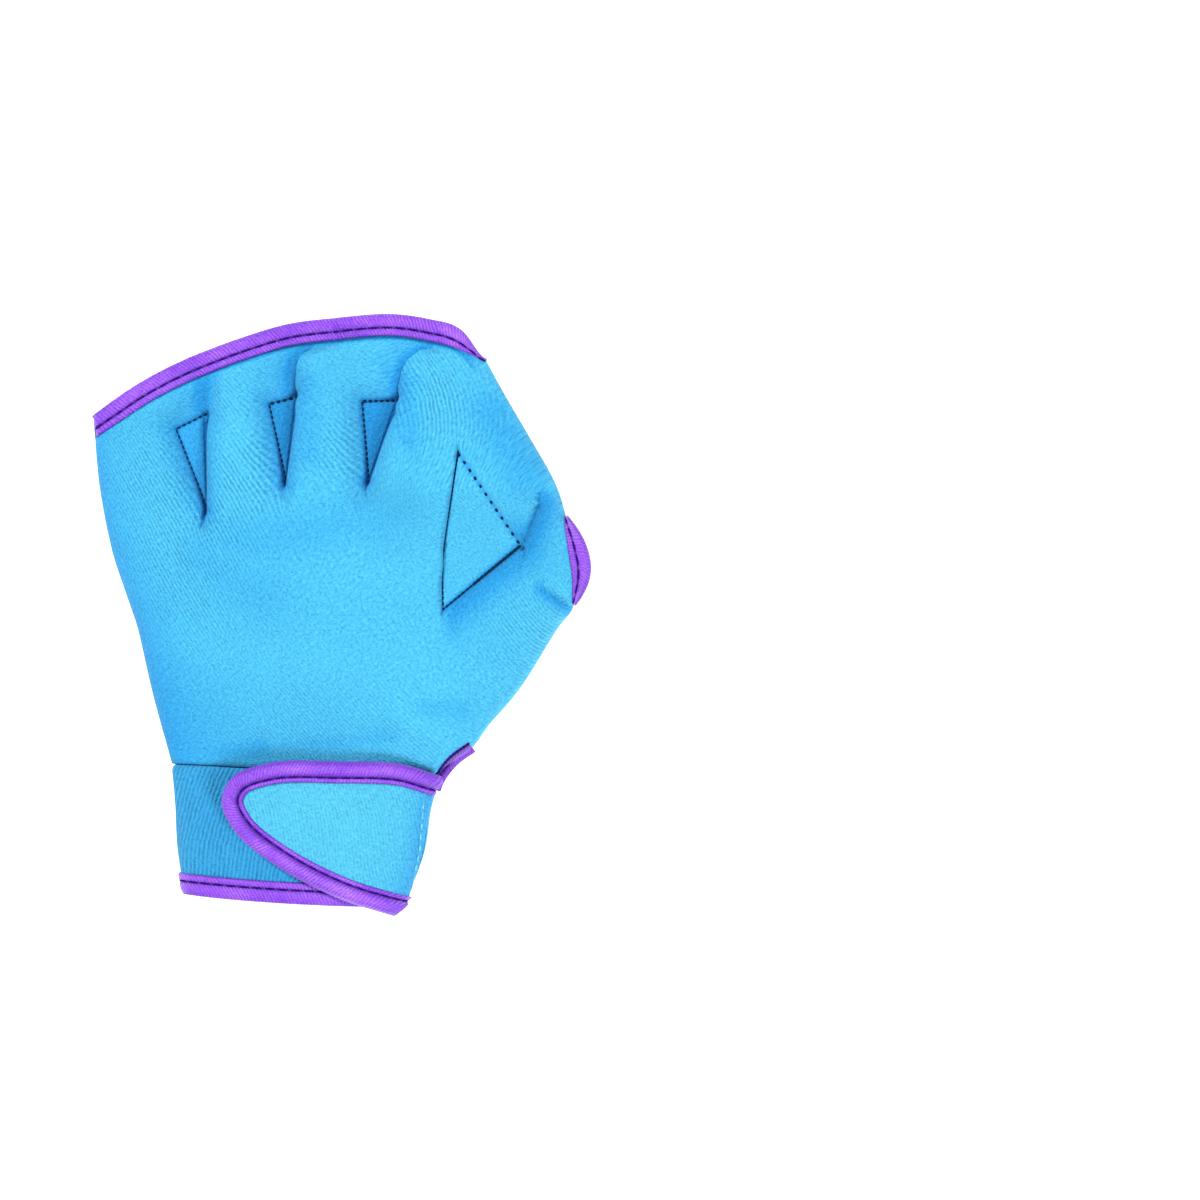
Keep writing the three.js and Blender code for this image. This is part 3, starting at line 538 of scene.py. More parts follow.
# Meshes from rings of points. A ring runs round a closed section, so a grid is bent into a tube and its
# ends are drawn together half way between the two faces.
def tube_mesh(name, rings, uv, material, marks=None):
    rows, count, _ = rings.shape
    ends = [(rings[i] + rings[i][::-1]) / 2 for i in (0, -1)]
    points = np.concatenate([ends[0][None], rings, ends[1][None]])
    points = np.concatenate([points, points[:, :1]], axis=1)
    uv = np.concatenate([uv[:1], uv, uv[-1:]])
    uv = np.concatenate([uv, uv[:, :1]], axis=1)
    bpy.ops.object.select_all(action="DESELECT")
    bpy.ops.mesh.primitive_grid_add(x_subdivisions=count, y_subdivisions=rows + 1, size=2)
    piece = bpy.context.object
    piece.name = name
    piece.data.name = name
    mesh = piece.data
    mesh.vertices.foreach_set("co", (points.reshape(-1, 3) * MM).ravel())
    for name_of, values in (marks or {}).items():
        values = np.concatenate([values[:1], values, values[-1:]])
        values = np.concatenate([values, values[:, :1]], axis=1)
        mark = mesh.attributes.new(name_of, "FLOAT", "POINT")
        mark.data.foreach_set("value", values.ravel())
    corners = np.zeros(len(mesh.loops), int)
    mesh.loops.foreach_get("vertex_index", corners)
    mesh.uv_layers[0].data.foreach_set("uv", (uv.reshape(-1, 2)[corners] * MM).ravel())
    mesh.update()
    bpy.ops.object.mode_set(mode="EDIT")
    bpy.ops.mesh.select_all(action="SELECT")
    bpy.ops.mesh.remove_doubles(threshold=1e-6)
    bpy.ops.mesh.normals_make_consistent(inside=False)
    bpy.ops.object.mode_set(mode="OBJECT")
    bpy.ops.object.shade_smooth_by_angle(angle=math.radians(70))
    mesh.materials.append(material)
    return piece


def wall_rings(outer, inner):
    return np.concatenate([outer, inner[:, ::-1]], axis=1)


def wall_flat(values):
    return np.concatenate([values, values[:, ::-1]], axis=1)


def place(points):
    return points + ORIGIN


def finish_piece(piece, node):
    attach(piece, "root")
    if node:
        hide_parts(node)
    return piece


# Where the plan lies in the frame
palm_low, palm_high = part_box("palm_panel")
plan_along = np.linspace(0, 1, 400)
plan_x = np.linspace(-CUFF_WIDTH / 2, CUFF_WIDTH / 2, 400)
ORIGIN = np.array([
    palm_low.x / MM - left_x(plan_along).min(),
    palm_low.y / MM - wrist_y(plan_x, True).min(),
    palm_low.z / MM,
])


# Materials
def new_material(name, color, roughness):
    material = bpy.data.materials.new(name)
    material.use_nodes = True
    shader = material.node_tree.nodes["Principled BSDF"]
    shader.inputs["Base Color"].default_value = (*color, 1)
    shader.inputs["Roughness"].default_value = roughness
    return material, material.node_tree, shader


def add_node(tree, kind, **values):
    node = tree.nodes.new(kind)
    for key, value in values.items():
        if key in node.inputs:
            node.inputs[key].default_value = value
        else:
            setattr(node, key, value)
    return node


def math_node(tree, operation, a, b=None):
    node = add_node(tree, "ShaderNodeMath", operation=operation)
    for socket, value in zip(node.inputs, (a, b)):
        if value is None:
            continue
        if isinstance(value, (int, float)):
            socket.default_value = value
        else:
            tree.links.new(value, socket)
    return node.outputs[0]


def uv_axes(tree):
    uv = add_node(tree, "ShaderNodeUVMap", uv_map="UVMap")
    split = add_node(tree, "ShaderNodeSeparateXYZ")
    tree.links.new(uv.outputs[0], split.inputs[0])
    return uv.outputs[0], split.outputs[0], split.outputs[1]


def noise(tree, vector, scale, detail=2.0, roughness=0.5):
    node = add_node(tree, "ShaderNodeTexNoise", Scale=scale, Detail=detail, Roughness=roughness)
    tree.links.new(vector, node.inputs["Vector"])
    return node.outputs["Fac"]


def wave(tree, phase):
    return math_node(tree, "MULTIPLY_ADD", math_node(tree, "SINE", phase), 0.5)


def ramp(tree, value, stops):
    node = add_node(tree, "ShaderNodeValToRGB")
    node.color_ramp.elements[0].position = stops[0][0]
    node.color_ramp.elements[0].color = (*stops[0][1], 1)
    node.color_ramp.elements[1].position = stops[-1][0]
    node.color_ramp.elements[1].color = (*stops[-1][1], 1)
    for position, color in stops[1:-1]:
        node.color_ramp.elements.new(position).color = (*color, 1)
    tree.links.new(value, node.inputs[0])
    return node.outputs[0]


def add_bump(tree, shader, height, strength, distance):
    bump = add_node(tree, "ShaderNodeBump", Strength=strength, Distance=distance)
    tree.links.new(height, bump.inputs["Height"])
    tree.links.new(bump.outputs[0], shader.inputs["Normal"])


def knit_cloth(name, colors, rib_pitch, rib_depth, shaded=None):
    """Foam rubber with a knit face: a pebbly grain, and fine ribs across the first axis of the piece's own
    map where the cloth is marked for them. Where the piece is marked with painted shade, its colour is multiplied by
    the shade colours."""
    darkest, middle, light = colors
    material, tree, shader = new_material(name, middle, 0.85)
    shader.inputs["Sheen Weight"].default_value = 0.12
    shader.inputs["Sheen Roughness"].default_value = 0.5
    shader.inputs["Sheen Tint"].default_value = (0.6, 0.9, 1, 1)
    shader.inputs["Specular IOR Level"].default_value = 0.2
    uv, u, v = uv_axes(tree)
    turn = 2 * math.pi / (rib_pitch * MM)
    bent = math_node(tree, "ADD", math_node(tree, "MULTIPLY", u, turn),
                     math_node(tree, "MULTIPLY", noise(tree, uv, 260, 3), 5.0))
    ribs = math_node(tree, "SINE", bent)
    mark = add_node(tree, "ShaderNodeAttribute", attribute_name="ribs")
    breaks = ramp(tree, noise(tree, uv, 180, 2), ((0.3, (0.45,) * 3), (0.6, (1,) * 3)))
    masked = math_node(tree, "MULTIPLY", math_node(tree, "MULTIPLY", ribs, mark.outputs["Fac"]), breaks)
    grain = math_node(tree, "SUBTRACT", noise(tree, uv, 950, 2, 0.6), 0.5)
    fine = math_node(tree, "SUBTRACT", noise(tree, uv, 2300, 1, 0.6), 0.5)
    relief = math_node(tree, "MULTIPLY", masked, rib_depth)
    relief = math_node(tree, "ADD", relief, math_node(tree, "MULTIPLY", grain, 3.2))
    relief = math_node(tree, "ADD", relief, math_node(tree, "MULTIPLY", fine, 2.2))
    # Painted shade and highlight: the tone follows the relief, darker in the hollows of ribs and grain and lighter on
    # their crests; the broad tone varies at random
    fine_tone = math_node(tree, "MULTIPLY", relief, 0.38)
    broad_tone = math_node(tree, "MULTIPLY", math_node(tree, "SUBTRACT", noise(tree, uv, 30, 3), 0.5), 0.3)
    tone = math_node(tree, "ADD", math_node(tree, "ADD", fine_tone, broad_tone), 0.5)
    color = ramp(tree, tone, ((0.05, darkest), (0.5, middle), (0.95, light)))
    if shaded:
        color = paint_shade(tree, color, shaded)
    tree.links.new(color, shader.inputs["Base Color"])
    add_bump(tree, shader, relief, 1.0, 0.22 * MM)
    return material


def paint_shade(tree, color, shades):
    """Paints shade: multiplies a colour by a shade colour where the piece is marked with painted shade, from none to
    a whole one.
    """
    mark = add_node(tree, "ShaderNodeAttribute", attribute_name="painted_shade")
    blend = add_node(tree, "ShaderNodeMix", data_type="RGBA", blend_type="MULTIPLY")
    blend.inputs[0].default_value = 1
    tree.links.new(color, blend.inputs[6])
    tree.links.new(ramp(tree, mark.outputs["Fac"], shades), blend.inputs[7])
    return blend.outputs[2]


def tape_cloth(name):
    """Ribbed elastic tape: the first axis of its map runs across it, the second along it."""
    material, tree, shader = new_material(name, (0.24, 0.06, 0.6), 0.42)
    shader.inputs["Sheen Weight"].default_value = 0.1
    shader.inputs["Specular IOR Level"].default_value = 0.45
    uv, u, v = uv_axes(tree)
    turn = 2 * math.pi / (1.15 * MM)
    slant = math_node(tree, "ADD", v, math_node(tree, "MULTIPLY", u, 0.45))
    bent = math_node(tree, "ADD", math_node(tree, "MULTIPLY", slant, turn),
                     math_node(tree, "MULTIPLY", noise(tree, uv, 300, 2), 6.0))
    fade = ramp(tree, noise(tree, uv, 120, 2), ((0.35, (0.35,) * 3), (0.65, (1,) * 3)))
    ribs = math_node(tree, "MULTIPLY", math_node(tree, "SINE", bent), fade)
    yarn = math_node(tree, "SINE", math_node(tree, "MULTIPLY", u, 2 * math.pi / (0.6 * MM)))
    relief = math_node(tree, "ADD", math_node(tree, "MULTIPLY", ribs, 0.5), math_node(tree, "MULTIPLY", yarn, 0.12))
    relief = math_node(tree, "ADD", relief, math_node(tree, "MULTIPLY", noise(tree, uv, 1300, 2), 1.5))
    # Painted shade and highlight: the tone follows the ribs' relief, darker in their hollows and lighter on their
    # crests; the broad tone varies at random
    broad_tone = math_node(tree, "MULTIPLY", noise(tree, uv, 60, 3), 0.8)
    tone = math_node(tree, "ADD", math_node(tree, "MULTIPLY", relief, 0.27), math_node(tree, "ADD", broad_tone, 0.04))
    colors = ((0.25, (0.068, 0.005, 0.33)), (0.58, (0.185, 0.03, 0.6)), (0.95, (0.4, 0.13, 0.8)))
    color = paint_shade(tree, ramp(tree, tone, colors), TAPE_SHADES)
    tree.links.new(color, shader.inputs["Base Color"])
    add_bump(tree, shader, relief, 1.0, 0.2 * MM)
    return material


def scale_rubber(name):
    """Black grip rubber, embossed with staggered rows of small raised scales."""
    material, tree, shader = new_material(name, (0.02, 0.02, 0.022), 0.4)
    shader.inputs["Specular IOR Level"].default_value = 0.6
    uv, u, v = uv_axes(tree)
    across = math_node(tree, "MULTIPLY", u, 1 / (3.1 * MM))
    down = math_node(tree, "MULTIPLY", v, 1 / (3.4 * MM))
    first = math_node(tree, "MULTIPLY", math_node(tree, "COSINE", math_node(tree, "MULTIPLY", across, math.pi)),
                      math_node(tree, "COSINE", math_node(tree, "MULTIPLY", down, math.pi)))
    bumps = math_node(tree, "ABSOLUTE", first)
    rounded = math_node(tree, "POWER", bumps, 0.7)
    grain = noise(tree, uv, 1500, 2)
    relief = math_node(tree, "ADD", rounded, math_node(tree, "MULTIPLY", grain, 0.12))
    tone = math_node(tree, "ADD", math_node(tree, "MULTIPLY", rounded, 0.8), math_node(tree, "MULTIPLY", noise(tree, uv, 40, 2), 0.3))
    tree.links.new(ramp(tree, tone, ((0.1, (0.006,) * 3), (0.6, (0.022,) * 3), (1, (0.05,) * 3))), shader.inputs["Base Color"])
    tree.links.new(ramp(tree, grain, ((0.2, (0.34,) * 3), (0.8, (0.55,) * 3))), shader.inputs["Roughness"])
    add_bump(tree, shader, relief, 0.8, 0.35 * MM)
    return material


def thread(name, color):
    """Sewing thread, a little darker in places."""
    material, tree, shader = new_material(name, color, 0.85)
    shader.inputs["Specular IOR Level"].default_value = 0.1
    place_in = add_node(tree, "ShaderNodeTexCoord")
    shade = noise(tree, place_in.outputs["Object"], 900, 2)
    dark = tuple(c * 0.55 for c in color)
    tree.links.new(ramp(tree, shade, ((0.3, dark), (0.7, color))), shader.inputs["Base Color"])
    add_bump(tree, shader, shade, 0.4, 0.1 * MM)
    return material


def pad_cloth(name):
    """The hidden fastening pad: short stiff hooks in a dark ground."""
    material, tree, shader = new_material(name, (0.02, 0.02, 0.026), 0.9)
    place_in = add_node(tree, "ShaderNodeTexCoord")
    cells = add_node(tree, "ShaderNodeTexVoronoi", Scale=900)
    tree.links.new(place_in.outputs["Object"], cells.inputs["Vector"])
    tree.links.new(ramp(tree, cells.outputs["Distance"], ((0.1, (0.05,) * 3), (0.6, (0.008,) * 3))), shader.inputs["Base Color"])
    add_bump(tree, shader, cells.outputs["Distance"], 0.6, 0.2 * MM)
    return material


BLUES = ((0.026, 0.275, 0.54), (0.053, 0.42, 0.69), (0.105, 0.575, 0.82))
TAB_BLUES = ((0.036, 0.31, 0.54), (0.068, 0.45, 0.67), (0.112, 0.575, 0.77))
# Colours of painted shade, by how strongly a piece is marked for it
UNSHADED = (1, 1, 1)
PAINTED_SHADES = (
    (0, UNSHADED), (0.5, (0.32, 0.69, 0.92)), (0.7, (0.22, 0.59, 0.82)), (0.8, (0.2, 0.54, 0.74)),
    (1, (0.05, 0.22, 0.38)),
)
BAND_SHADES = ((0, UNSHADED), (1, (0.36, 0.64, 0.86)))
TAPE_SHADES = ((0, UNSHADED), (1, (0.2, 0.04, 0.37)))
BACK_CLOTH = knit_cloth("blue_knit", BLUES, 1.25, 0.85, PAINTED_SHADES)
TAB_SHADES = ((0, UNSHADED), (1, (0.5, 0.73, 0.98)))
TAB_CLOTH = knit_cloth("blue_tab_knit", TAB_BLUES, 1.1, 0.7, TAB_SHADES)
BAND_CLOTH = knit_cloth("blue_band_knit", TAB_BLUES, 1.5, 1.3, BAND_SHADES)
PALM_CLOTH = scale_rubber("black_scale_rubber")
TAPE_CLOTH = tape_cloth("purple_tape")
BLUE_THREAD = thread("blue_thread", (0.003, 0.026, 0.08))
LIGHT_THREAD = thread("light_blue_thread", (0.2, 0.68, 0.86))
PURPLE_THREAD = thread("purple_thread", (0.032, 0.001, 0.2))
PAD_CLOTH = pad_cloth("hook_pad")


# The hand panels
FINE_ACROSS = (34, 15, 34, 16, 36, 16, 24, 26, 34)
FINE_ALONG = (20, 20, 8, 22, 14, 14, 24, 40)


def spaced(count, ends):
    """Even steps, drawn towards both ends by a share."""
    t = np.arange(count) / count
    return t - ends * np.sin(2 * math.pi * t) / (2 * math.pi)


def panel_plan(palm):
    alongs = [
        mix(SECTION_ALONG[i], SECTION_ALONG[i + 1], np.arange(count) / count)
        for i, count in enumerate(FINE_ALONG)
    ]
    along = np.append(np.concatenate(alongs), 1.0)
    columns = []
    for i, count in enumerate(FINE_ACROSS):
        a = column_x(COLUMNS[i], along)
        b = column_x(COLUMNS[i + 1], along)
        steps = spaced(count, 0.55)
        columns.append(a[:, None] + (b - a)[:, None] * steps[None])
    columns.append(right_x(along)[:, None])
    x = np.concatenate(columns, axis=1)
    return x, y_at(x, along[:, None], palm)


def hand_panel(name, palm, material):
    x, y = panel_plan(palm)
    outer, inner = cloth_levels(x, y, palm)
    height = np.abs(outer - SEAM_HEIGHT) - HALF_GAP - WALL
    shift_x, shift_y = lean(x, y, height)
    shift = 0.25 if palm else 1.0
    px = x + shift_x * shift
    py = y + shift_y * shift
    low_x = x + shift_x * shift * 0.6
    low_y = y + shift_y * shift * 0.6
    outer_points = place(np.stack([px, py, outer], axis=-1))
    inner_points = place(np.stack([low_x, low_y, inner], axis=-1))
    if palm:
        phase = x + 0.5 * height
        cross = y + 0.5 * height
    else:
        arc = smooth((x - 16) / 24) * smooth((y - 60) / 40)
        bow = (np.maximum(y, 92) - 122) ** 2 / 90 - 0.5 * (np.maximum(y, 92) - 122) - 10
        phase = 0.8 * x + 0.6 * y + 0.4 * height + 3 * np.sin(y / 23) + 2.2 * np.sin(x / 17 + y / 31) + arc * bow
        cross = -0.6 * x + 0.8 * y
    uv = np.stack([phase, cross], axis=-1)
    rings = wall_rings(outer_points, inner_points)
    marks = None
    if not palm:
        marks = {"painted_shade": wall_flat(painted_shade(x, y)), "ribs": wall_flat(rib_strength(x, y))}
    return tube_mesh(name, rings, wall_rings(uv, uv), material, marks)


back_cloth = finish_piece(hand_panel("back_cloth", False, BACK_CLOTH), "back_panel")
palm_cloth = finish_piece(hand_panel("palm_cloth", True, PALM_CLOTH), "palm_panel")


# Binding tape. The profile gives, from the nose inwards, how far the tape's face stands off the cloth.
# The last value is the painted shade there, darkest in the tape's stitched groove and at its inner edge.
TAPE_PROFILE = (
    (0.0, 0.95, 0.2), (0.6, 1.12, 0.05), (1.4, 1.2, 0), (2.4, 1.18, 0.06), (2.95, 1.08, 0.3), (3.3, 0.72, 0.85),
    (3.6, 0.5, 1), (3.85, 0.72, 0.8), (4.15, 0.98, 0.25), (4.7, 1.02, 0.05), (5.3, 0.98, 0.05), (5.9, 0.8, 0.3),
    (6.2, 0.3, 0.9),
)
# How dark the painted shade grows round the nose, from the top face to the underside
NOSE_DARK = 0.75
NOSE_TURNS = 7
GROOVE = 3.6
GROOVE_STAND = 0.62
TAB_GROOVE = 4.5


def tape(name, surface, out, run, swell=1.0, thin=1.0, groove=GROOVE, dark_from=TAPE_WIDTH):
    """A folded tape. surface gives, at a distance inside the edge, the cloth's two faces and the way off
    it. swell makes its outer roll fatter, and thin, one value or one for each station, makes all flatter.
    groove is how far inside the edge its stitched groove lies, and dark_from where it lies in the shade."""
    thin = np.broadcast_to(thin, run.shape)[:, None]
    top_chain = []
    low_chain = []
    top_inside = []
    low_inside = []
    for far, stand, _ in TAPE_PROFILE:
        top, low, off = surface(float(np.interp(far, (0, GROOVE, TAPE_LEG), (0, groove, TAPE_LEG))))
        stand = stand * thin * mix(swell, 1, float(smooth((far - 2.2) / 1.4)))
        top_chain.append(top + off * stand)
        low_chain.append(low - off * np.minimum(stand, 1.1))
        top_inside.append(top + off * 0.12)
        low_inside.append(low - off * 0.12)
    top, low, off = surface(0.0)
    middle = (top + low) / 2 + out * GAP
    half = np.linalg.norm(top - low, axis=1)[:, None] / 2 + TAPE_PROFILE[0][1] * thin
    nose = []
    nose_inside = []
    for k in range(1, NOSE_TURNS):
        turn = math.pi / 2 - math.pi * k / NOSE_TURNS
        nose.append(middle + off * half * math.sin(turn) + out * thin * TAPE_WALL * 1.05 * math.cos(turn) ** 0.7)
        nose_inside.append(middle + off * (half - 0.75) * math.sin(turn))
    # Painted shade: the profile's values, full inside dark_from, growing round the nose, and full on the inner face
    darks = [1.0 if far > dark_from else dark for far, _, dark in TAPE_PROFILE]
    nose_darks = [NOSE_DARK * k / NOSE_TURNS for k in range(1, NOSE_TURNS)]
    outer_darks = darks[::-1] + nose_darks + darks
    outside = top_chain[::-1] + nose + low_chain
    inside = top_inside[::-1] + nose_inside + low_inside
    rings = np.stack(outside + inside[::-1], axis=1)
    steps = np.linalg.norm(np.diff(rings, axis=1), axis=2).mean(axis=0)
    across = np.concatenate([[0], np.cumsum(steps)])
    uv = np.stack(np.broadcast_arrays(across[None], run[:, None]), axis=-1)
    dark = np.array(outer_darks + [1.0] * len(inside))
    dark = np.broadcast_to(dark[None], rings.shape[:2])
    return tube_mesh(name, place(rings), uv, TAPE_CLOTH, {"painted_shade": dark})


def run_length(points):
    return np.concatenate([[0], np.cumsum(np.linalg.norm(np.diff(points, axis=0), axis=1))])


def side_way(points):
    """The way to the left of a plan line's travel."""
    travel = unit(np.gradient(points, axis=0))
    return np.stack([-travel[:, 1], travel[:, 0]], axis=1)


def flat(points):
    return np.concatenate([points, np.zeros((len(points), 1))], axis=1)


def even_points(points, count, short=0.0):
    """Evenly spaced points along a line, which may stop short of its end."""
    run = run_length(points)
    at = np.linspace(0, run[-1] - short, count)
    return np.stack([np.interp(at, run, points[:, k]) for k in range(points.shape[1])], axis=1)


def panel_surface(points, inward, palm, both=False):
    """The faces of a panel under a tape along its edge, or of the two panels together. A short inward
    arrow draws the tape's inner edge closer to the cloth's edge."""
    def surface(far):
        x = points[:, 0] + inward[:, 0] * far
        y = points[:, 1] + inward[:, 1] * far
        y = np.minimum(y, rim_y(x))
        outer, inner = cloth_levels(x, y, palm)
        if both:
            inner, _ = cloth_levels(x, y, True)
        if palm:
            outer, inner = inner, outer
        up = np.tile([0.0, 0.0, 1.0], (len(x), 1))
        return np.stack([x, y, outer], axis=1), np.stack([x, y, inner], axis=1), up
    return surface


def finger_rim_points(count):
    x = np.linspace(float(left_x(1.0)), float(right_x(1.0)), 400)
    return even_points(np.stack([x, rim_y(x)], axis=1), count)


def thumb_side_points(start, end, count):
    along = np.linspace(start, end, 120)
    x = right_x(along)
    return even_points(np.stack([x, y_at(x, along, False)], axis=1), count)


def plan_tape(name, points, out, inward, palm, node, both=False, dark_from=TAPE_WIDTH):
    thin = 0.45 + 0.55 * np.linalg.norm(inward, axis=1)
    surface = panel_surface(points, inward, palm, both)
    piece = tape(name, surface, flat(out), run_length(points), thin=thin, dark_from=dark_from)
    return finish_piece(piece, node)


rim_points = finger_rim_points(230)
rim_out = side_way(rim_points)
to_end = (run_length(rim_points)[-1] - run_length(rim_points))[:, None]
rim_taper = mix(0.06, 1, smooth(to_end / 17) ** 0.8)
from_end = run_length(rim_points)[:, None]
rim_inward = mix(np.array([[0.05, -1.0]]), -rim_out, smooth((to_end - 4) / 16))
rim_inward = unit(mix(np.array([[0.2, -0.98]]), rim_inward, smooth(from_end / 14))) * rim_taper
plan_tape("finger_tape_back", rim_points, rim_out, rim_inward, False, "top_binding_back")
plan_tape("finger_tape_palm", rim_points, rim_out, rim_inward, True, "top_binding_palm")
thumb_points = thumb_side_points(OPENING_FROM, OPENING_TO, 60)
thumb_out = -side_way(thumb_points)
thumb_share = np.linspace(0, 1, len(thumb_points))[:, None]
thumb_inward = -thumb_out * (0.08 + 0.86 * np.sin(math.pi * thumb_share) ** 0.75)
plan_tape("thumb_tape_back", thumb_points, thumb_out, thumb_inward, False, "thumb_binding_back")
plan_tape("thumb_tape_palm", thumb_points, thumb_out, thumb_inward, True, "thumb_binding_palm")


# The wrist band
def on_oval(y, angle):
    middle, half = oval_at(y)
    high = np.where(angle <= 270, BAND_HALF, TAB_HALF)
    turn = np.radians(angle)
    cos = np.cos(turn)
    sin = np.sin(turn)
    x = middle + half * np.sign(cos) * np.abs(cos) ** (2 / OVAL)
    z = BAND_BASE + high + high * np.sign(sin) * np.abs(sin) ** (2 / OVAL)
    return x, z


def oval_normal(y, angle):
    ax, az = on_oval(y, angle - 1)
    bx, bz = on_oval(y, angle + 1)
    return unit(np.stack([bz - az, np.zeros_like(az), ax - bx], axis=-1))


def band_top(angle):
    y = np.zeros_like(angle)
    for _ in range(3):
        x, _ = on_oval(y, angle)
        inner_x = x - oval_normal(y, angle)[..., 0] * WALL
        back = np.minimum(wrist_y(x, False), wrist_y(inner_x, False))
        palm = np.minimum(wrist_y(x, True), wrist_y(inner_x, True))
        y = np.where(angle > 180, palm, back) - GAP
    return np.where(angle > 360, -EDGE_DROP - GAP, y)


def band_bottom(angle):
    x, _ = on_oval(np.zeros_like(angle), angle)
    share = np.clip(x / CUFF_WIDTH + 0.5, 0, 1)
    return -CUFF_HEIGHT * (1 - BACK_EDGE_RISE * (1 - share) ** 2)


def band_point(y, angle, depth=0.0):
    x, z = on_oval(y, angle)
    normal = oval_normal(y, angle)
    return np.stack([x, y, z], axis=-1) - normal * np.asarray(depth)[..., None], normal


BAND_ANGLES = np.linspace(BAND_FROM, BAND_TO, 260)


def wrist_band():
    top = band_top(BAND_ANGLES)
    bottom = band_bottom(BAND_ANGLES)
    share = np.linspace(0, 1, 60)
    y = top[None] + (bottom - top)[None] * share[:, None]
    angle = np.broadcast_to(BAND_ANGLES[None], y.shape)
    edge = (top[None] - y)
    ripple = 0.25 * np.sin(angle / 9 + y / 6) * np.sin(y / 14)
    pinch = 1.1 * np.exp(-edge / 0.8)
    outer, _ = band_point(y, angle, pinch - ripple * smooth(edge / 4))
    inner, _ = band_point(y, angle, WALL)
    run = run_length(outer[30])
    uv = np.stack([np.broadcast_to(run[None], y.shape) + 0.3 * y + 1.5 * np.sin(y / 11), y], axis=-1)
    rings = wall_rings(place(outer), place(inner))
    # Painted shade on the band, full away from the fold and fading out by the fold, where the band turns into the tab
    shade = wall_flat(1 - smooth((angle - 325) / 20))
    marks = {"painted_shade": shade, "ribs": 0.7 * shade}
    return tube_mesh("wrist_band", rings, wall_rings(uv, uv), BAND_CLOTH, marks)


finish_piece(wrist_band(), "cuff_band")


WRIST_TAPE_ANGLES = np.linspace(BAND_FROM, WRIST_TAPE_TO, 250)


def band_surface(far):
    y = band_bottom(WRIST_TAPE_ANGLES) + far
    outer, normal = band_point(y, WRIST_TAPE_ANGLES)
    inner, _ = band_point(y, WRIST_TAPE_ANGLES, WALL)
    return outer, inner, normal


band_edge = band_surface(0.0)[0]
down = np.tile([0.0, -1.0, 0.0], (len(WRIST_TAPE_ANGLES), 1))
tape_end = mix(1, 0.3, smooth((WRIST_TAPE_ANGLES - 325) / (WRIST_TAPE_TO - 325)))
wrist_tape = tape("wrist_tape", band_surface, down, run_length(band_edge), thin=tape_end)
finish_piece(wrist_tape, "cuff_binding")


# The tab
def on_tab(x, y, depth=0.0):
    middle, half = oval_at(y)
    share = np.clip((x - middle) / half, -0.999, 0.999)
    rise = oval_rise(share)
    steep = -TAB_HALF * np.sign(share) * np.abs(share) ** (OVAL - 1) / rise ** (OVAL - 1) / half
    normal = unit(np.stack([-steep, np.zeros_like(x), np.ones_like(x)], axis=-1))
    points = np.stack([x, y, BAND_BASE + TAB_HALF + TAB_HALF * rise], axis=-1)
    return points - normal * np.asarray(depth)[..., None], normal


TAB_SEAM = 0.04


def tab_start_x(y):
    return on_oval(y, np.full(np.shape(y), float(BAND_TO)))[0] - TAB_SEAM


def spline_points(corners, per_span):
    """A smooth curve through chosen points, with centripetal spacing."""
    corners = np.asarray(corners, float)
    padded = np.concatenate([[2 * corners[0] - corners[1]], corners, [2 * corners[-1] - corners[-2]]])
    points = []
    for i in range(1, len(padded) - 2):
        p = padded[i - 1:i + 3]
        knots = np.concatenate([[0], np.cumsum(np.sqrt(np.linalg.norm(np.diff(p, axis=0), axis=1)))])
        t = np.linspace(knots[1], knots[2], per_span, endpoint=False)[:, None]
        a = [((knots[k + 1] - t) * p[k] + (t - knots[k]) * p[k + 1]) / (knots[k + 1] - knots[k]) for k in range(3)]
        b = [((knots[k + 2] - t) * a[k] + (t - knots[k]) * a[k + 1]) / (knots[k + 2] - knots[k]) for k in range(2)]
        points.append(((knots[2] - t) * b[0] + (t - knots[1]) * b[1]) / (knots[2] - knots[1]))
    return np.concatenate(points + [corners[-1:]])


def tab_edge_points(count, start_across=None):
    corners = []
    for i, (across, along) in enumerate(TAB_OUTLINE):
        y = np.array(-along * CUFF_HEIGHT)
        middle, half = oval_at(y)
        x = middle + across * half
        if i in (0, len(TAB_OUTLINE) - 1):
            x = middle + start_across * half if start_across else tab_start_x(y)
        corners.append([float(x), float(y)])
    return even_points(spline_points(corners, 24), count)


def outward(points):
    """The way out of the tab along its edge, which runs from the upper end round to the lower one."""
    out = -side_way(points)
    return -out if out[len(points) // 2][0] > 0 else out


TAB_COUNT = 241
TAPE_ACROSS = 0.98
DROP_SHORT = 2.6
DROP_SLANT = 0.45
CORNER_CUT = 3.4
FOLD_ROWS = 12
tab_edge = tab_edge_points(TAB_COUNT)
tab_out = outward(tab_edge)
tape_edge = even_points(tab_edge_points(TAB_COUNT, TAPE_ACROSS), TAB_COUNT, DROP_SHORT)
tape_out = outward(tape_edge)


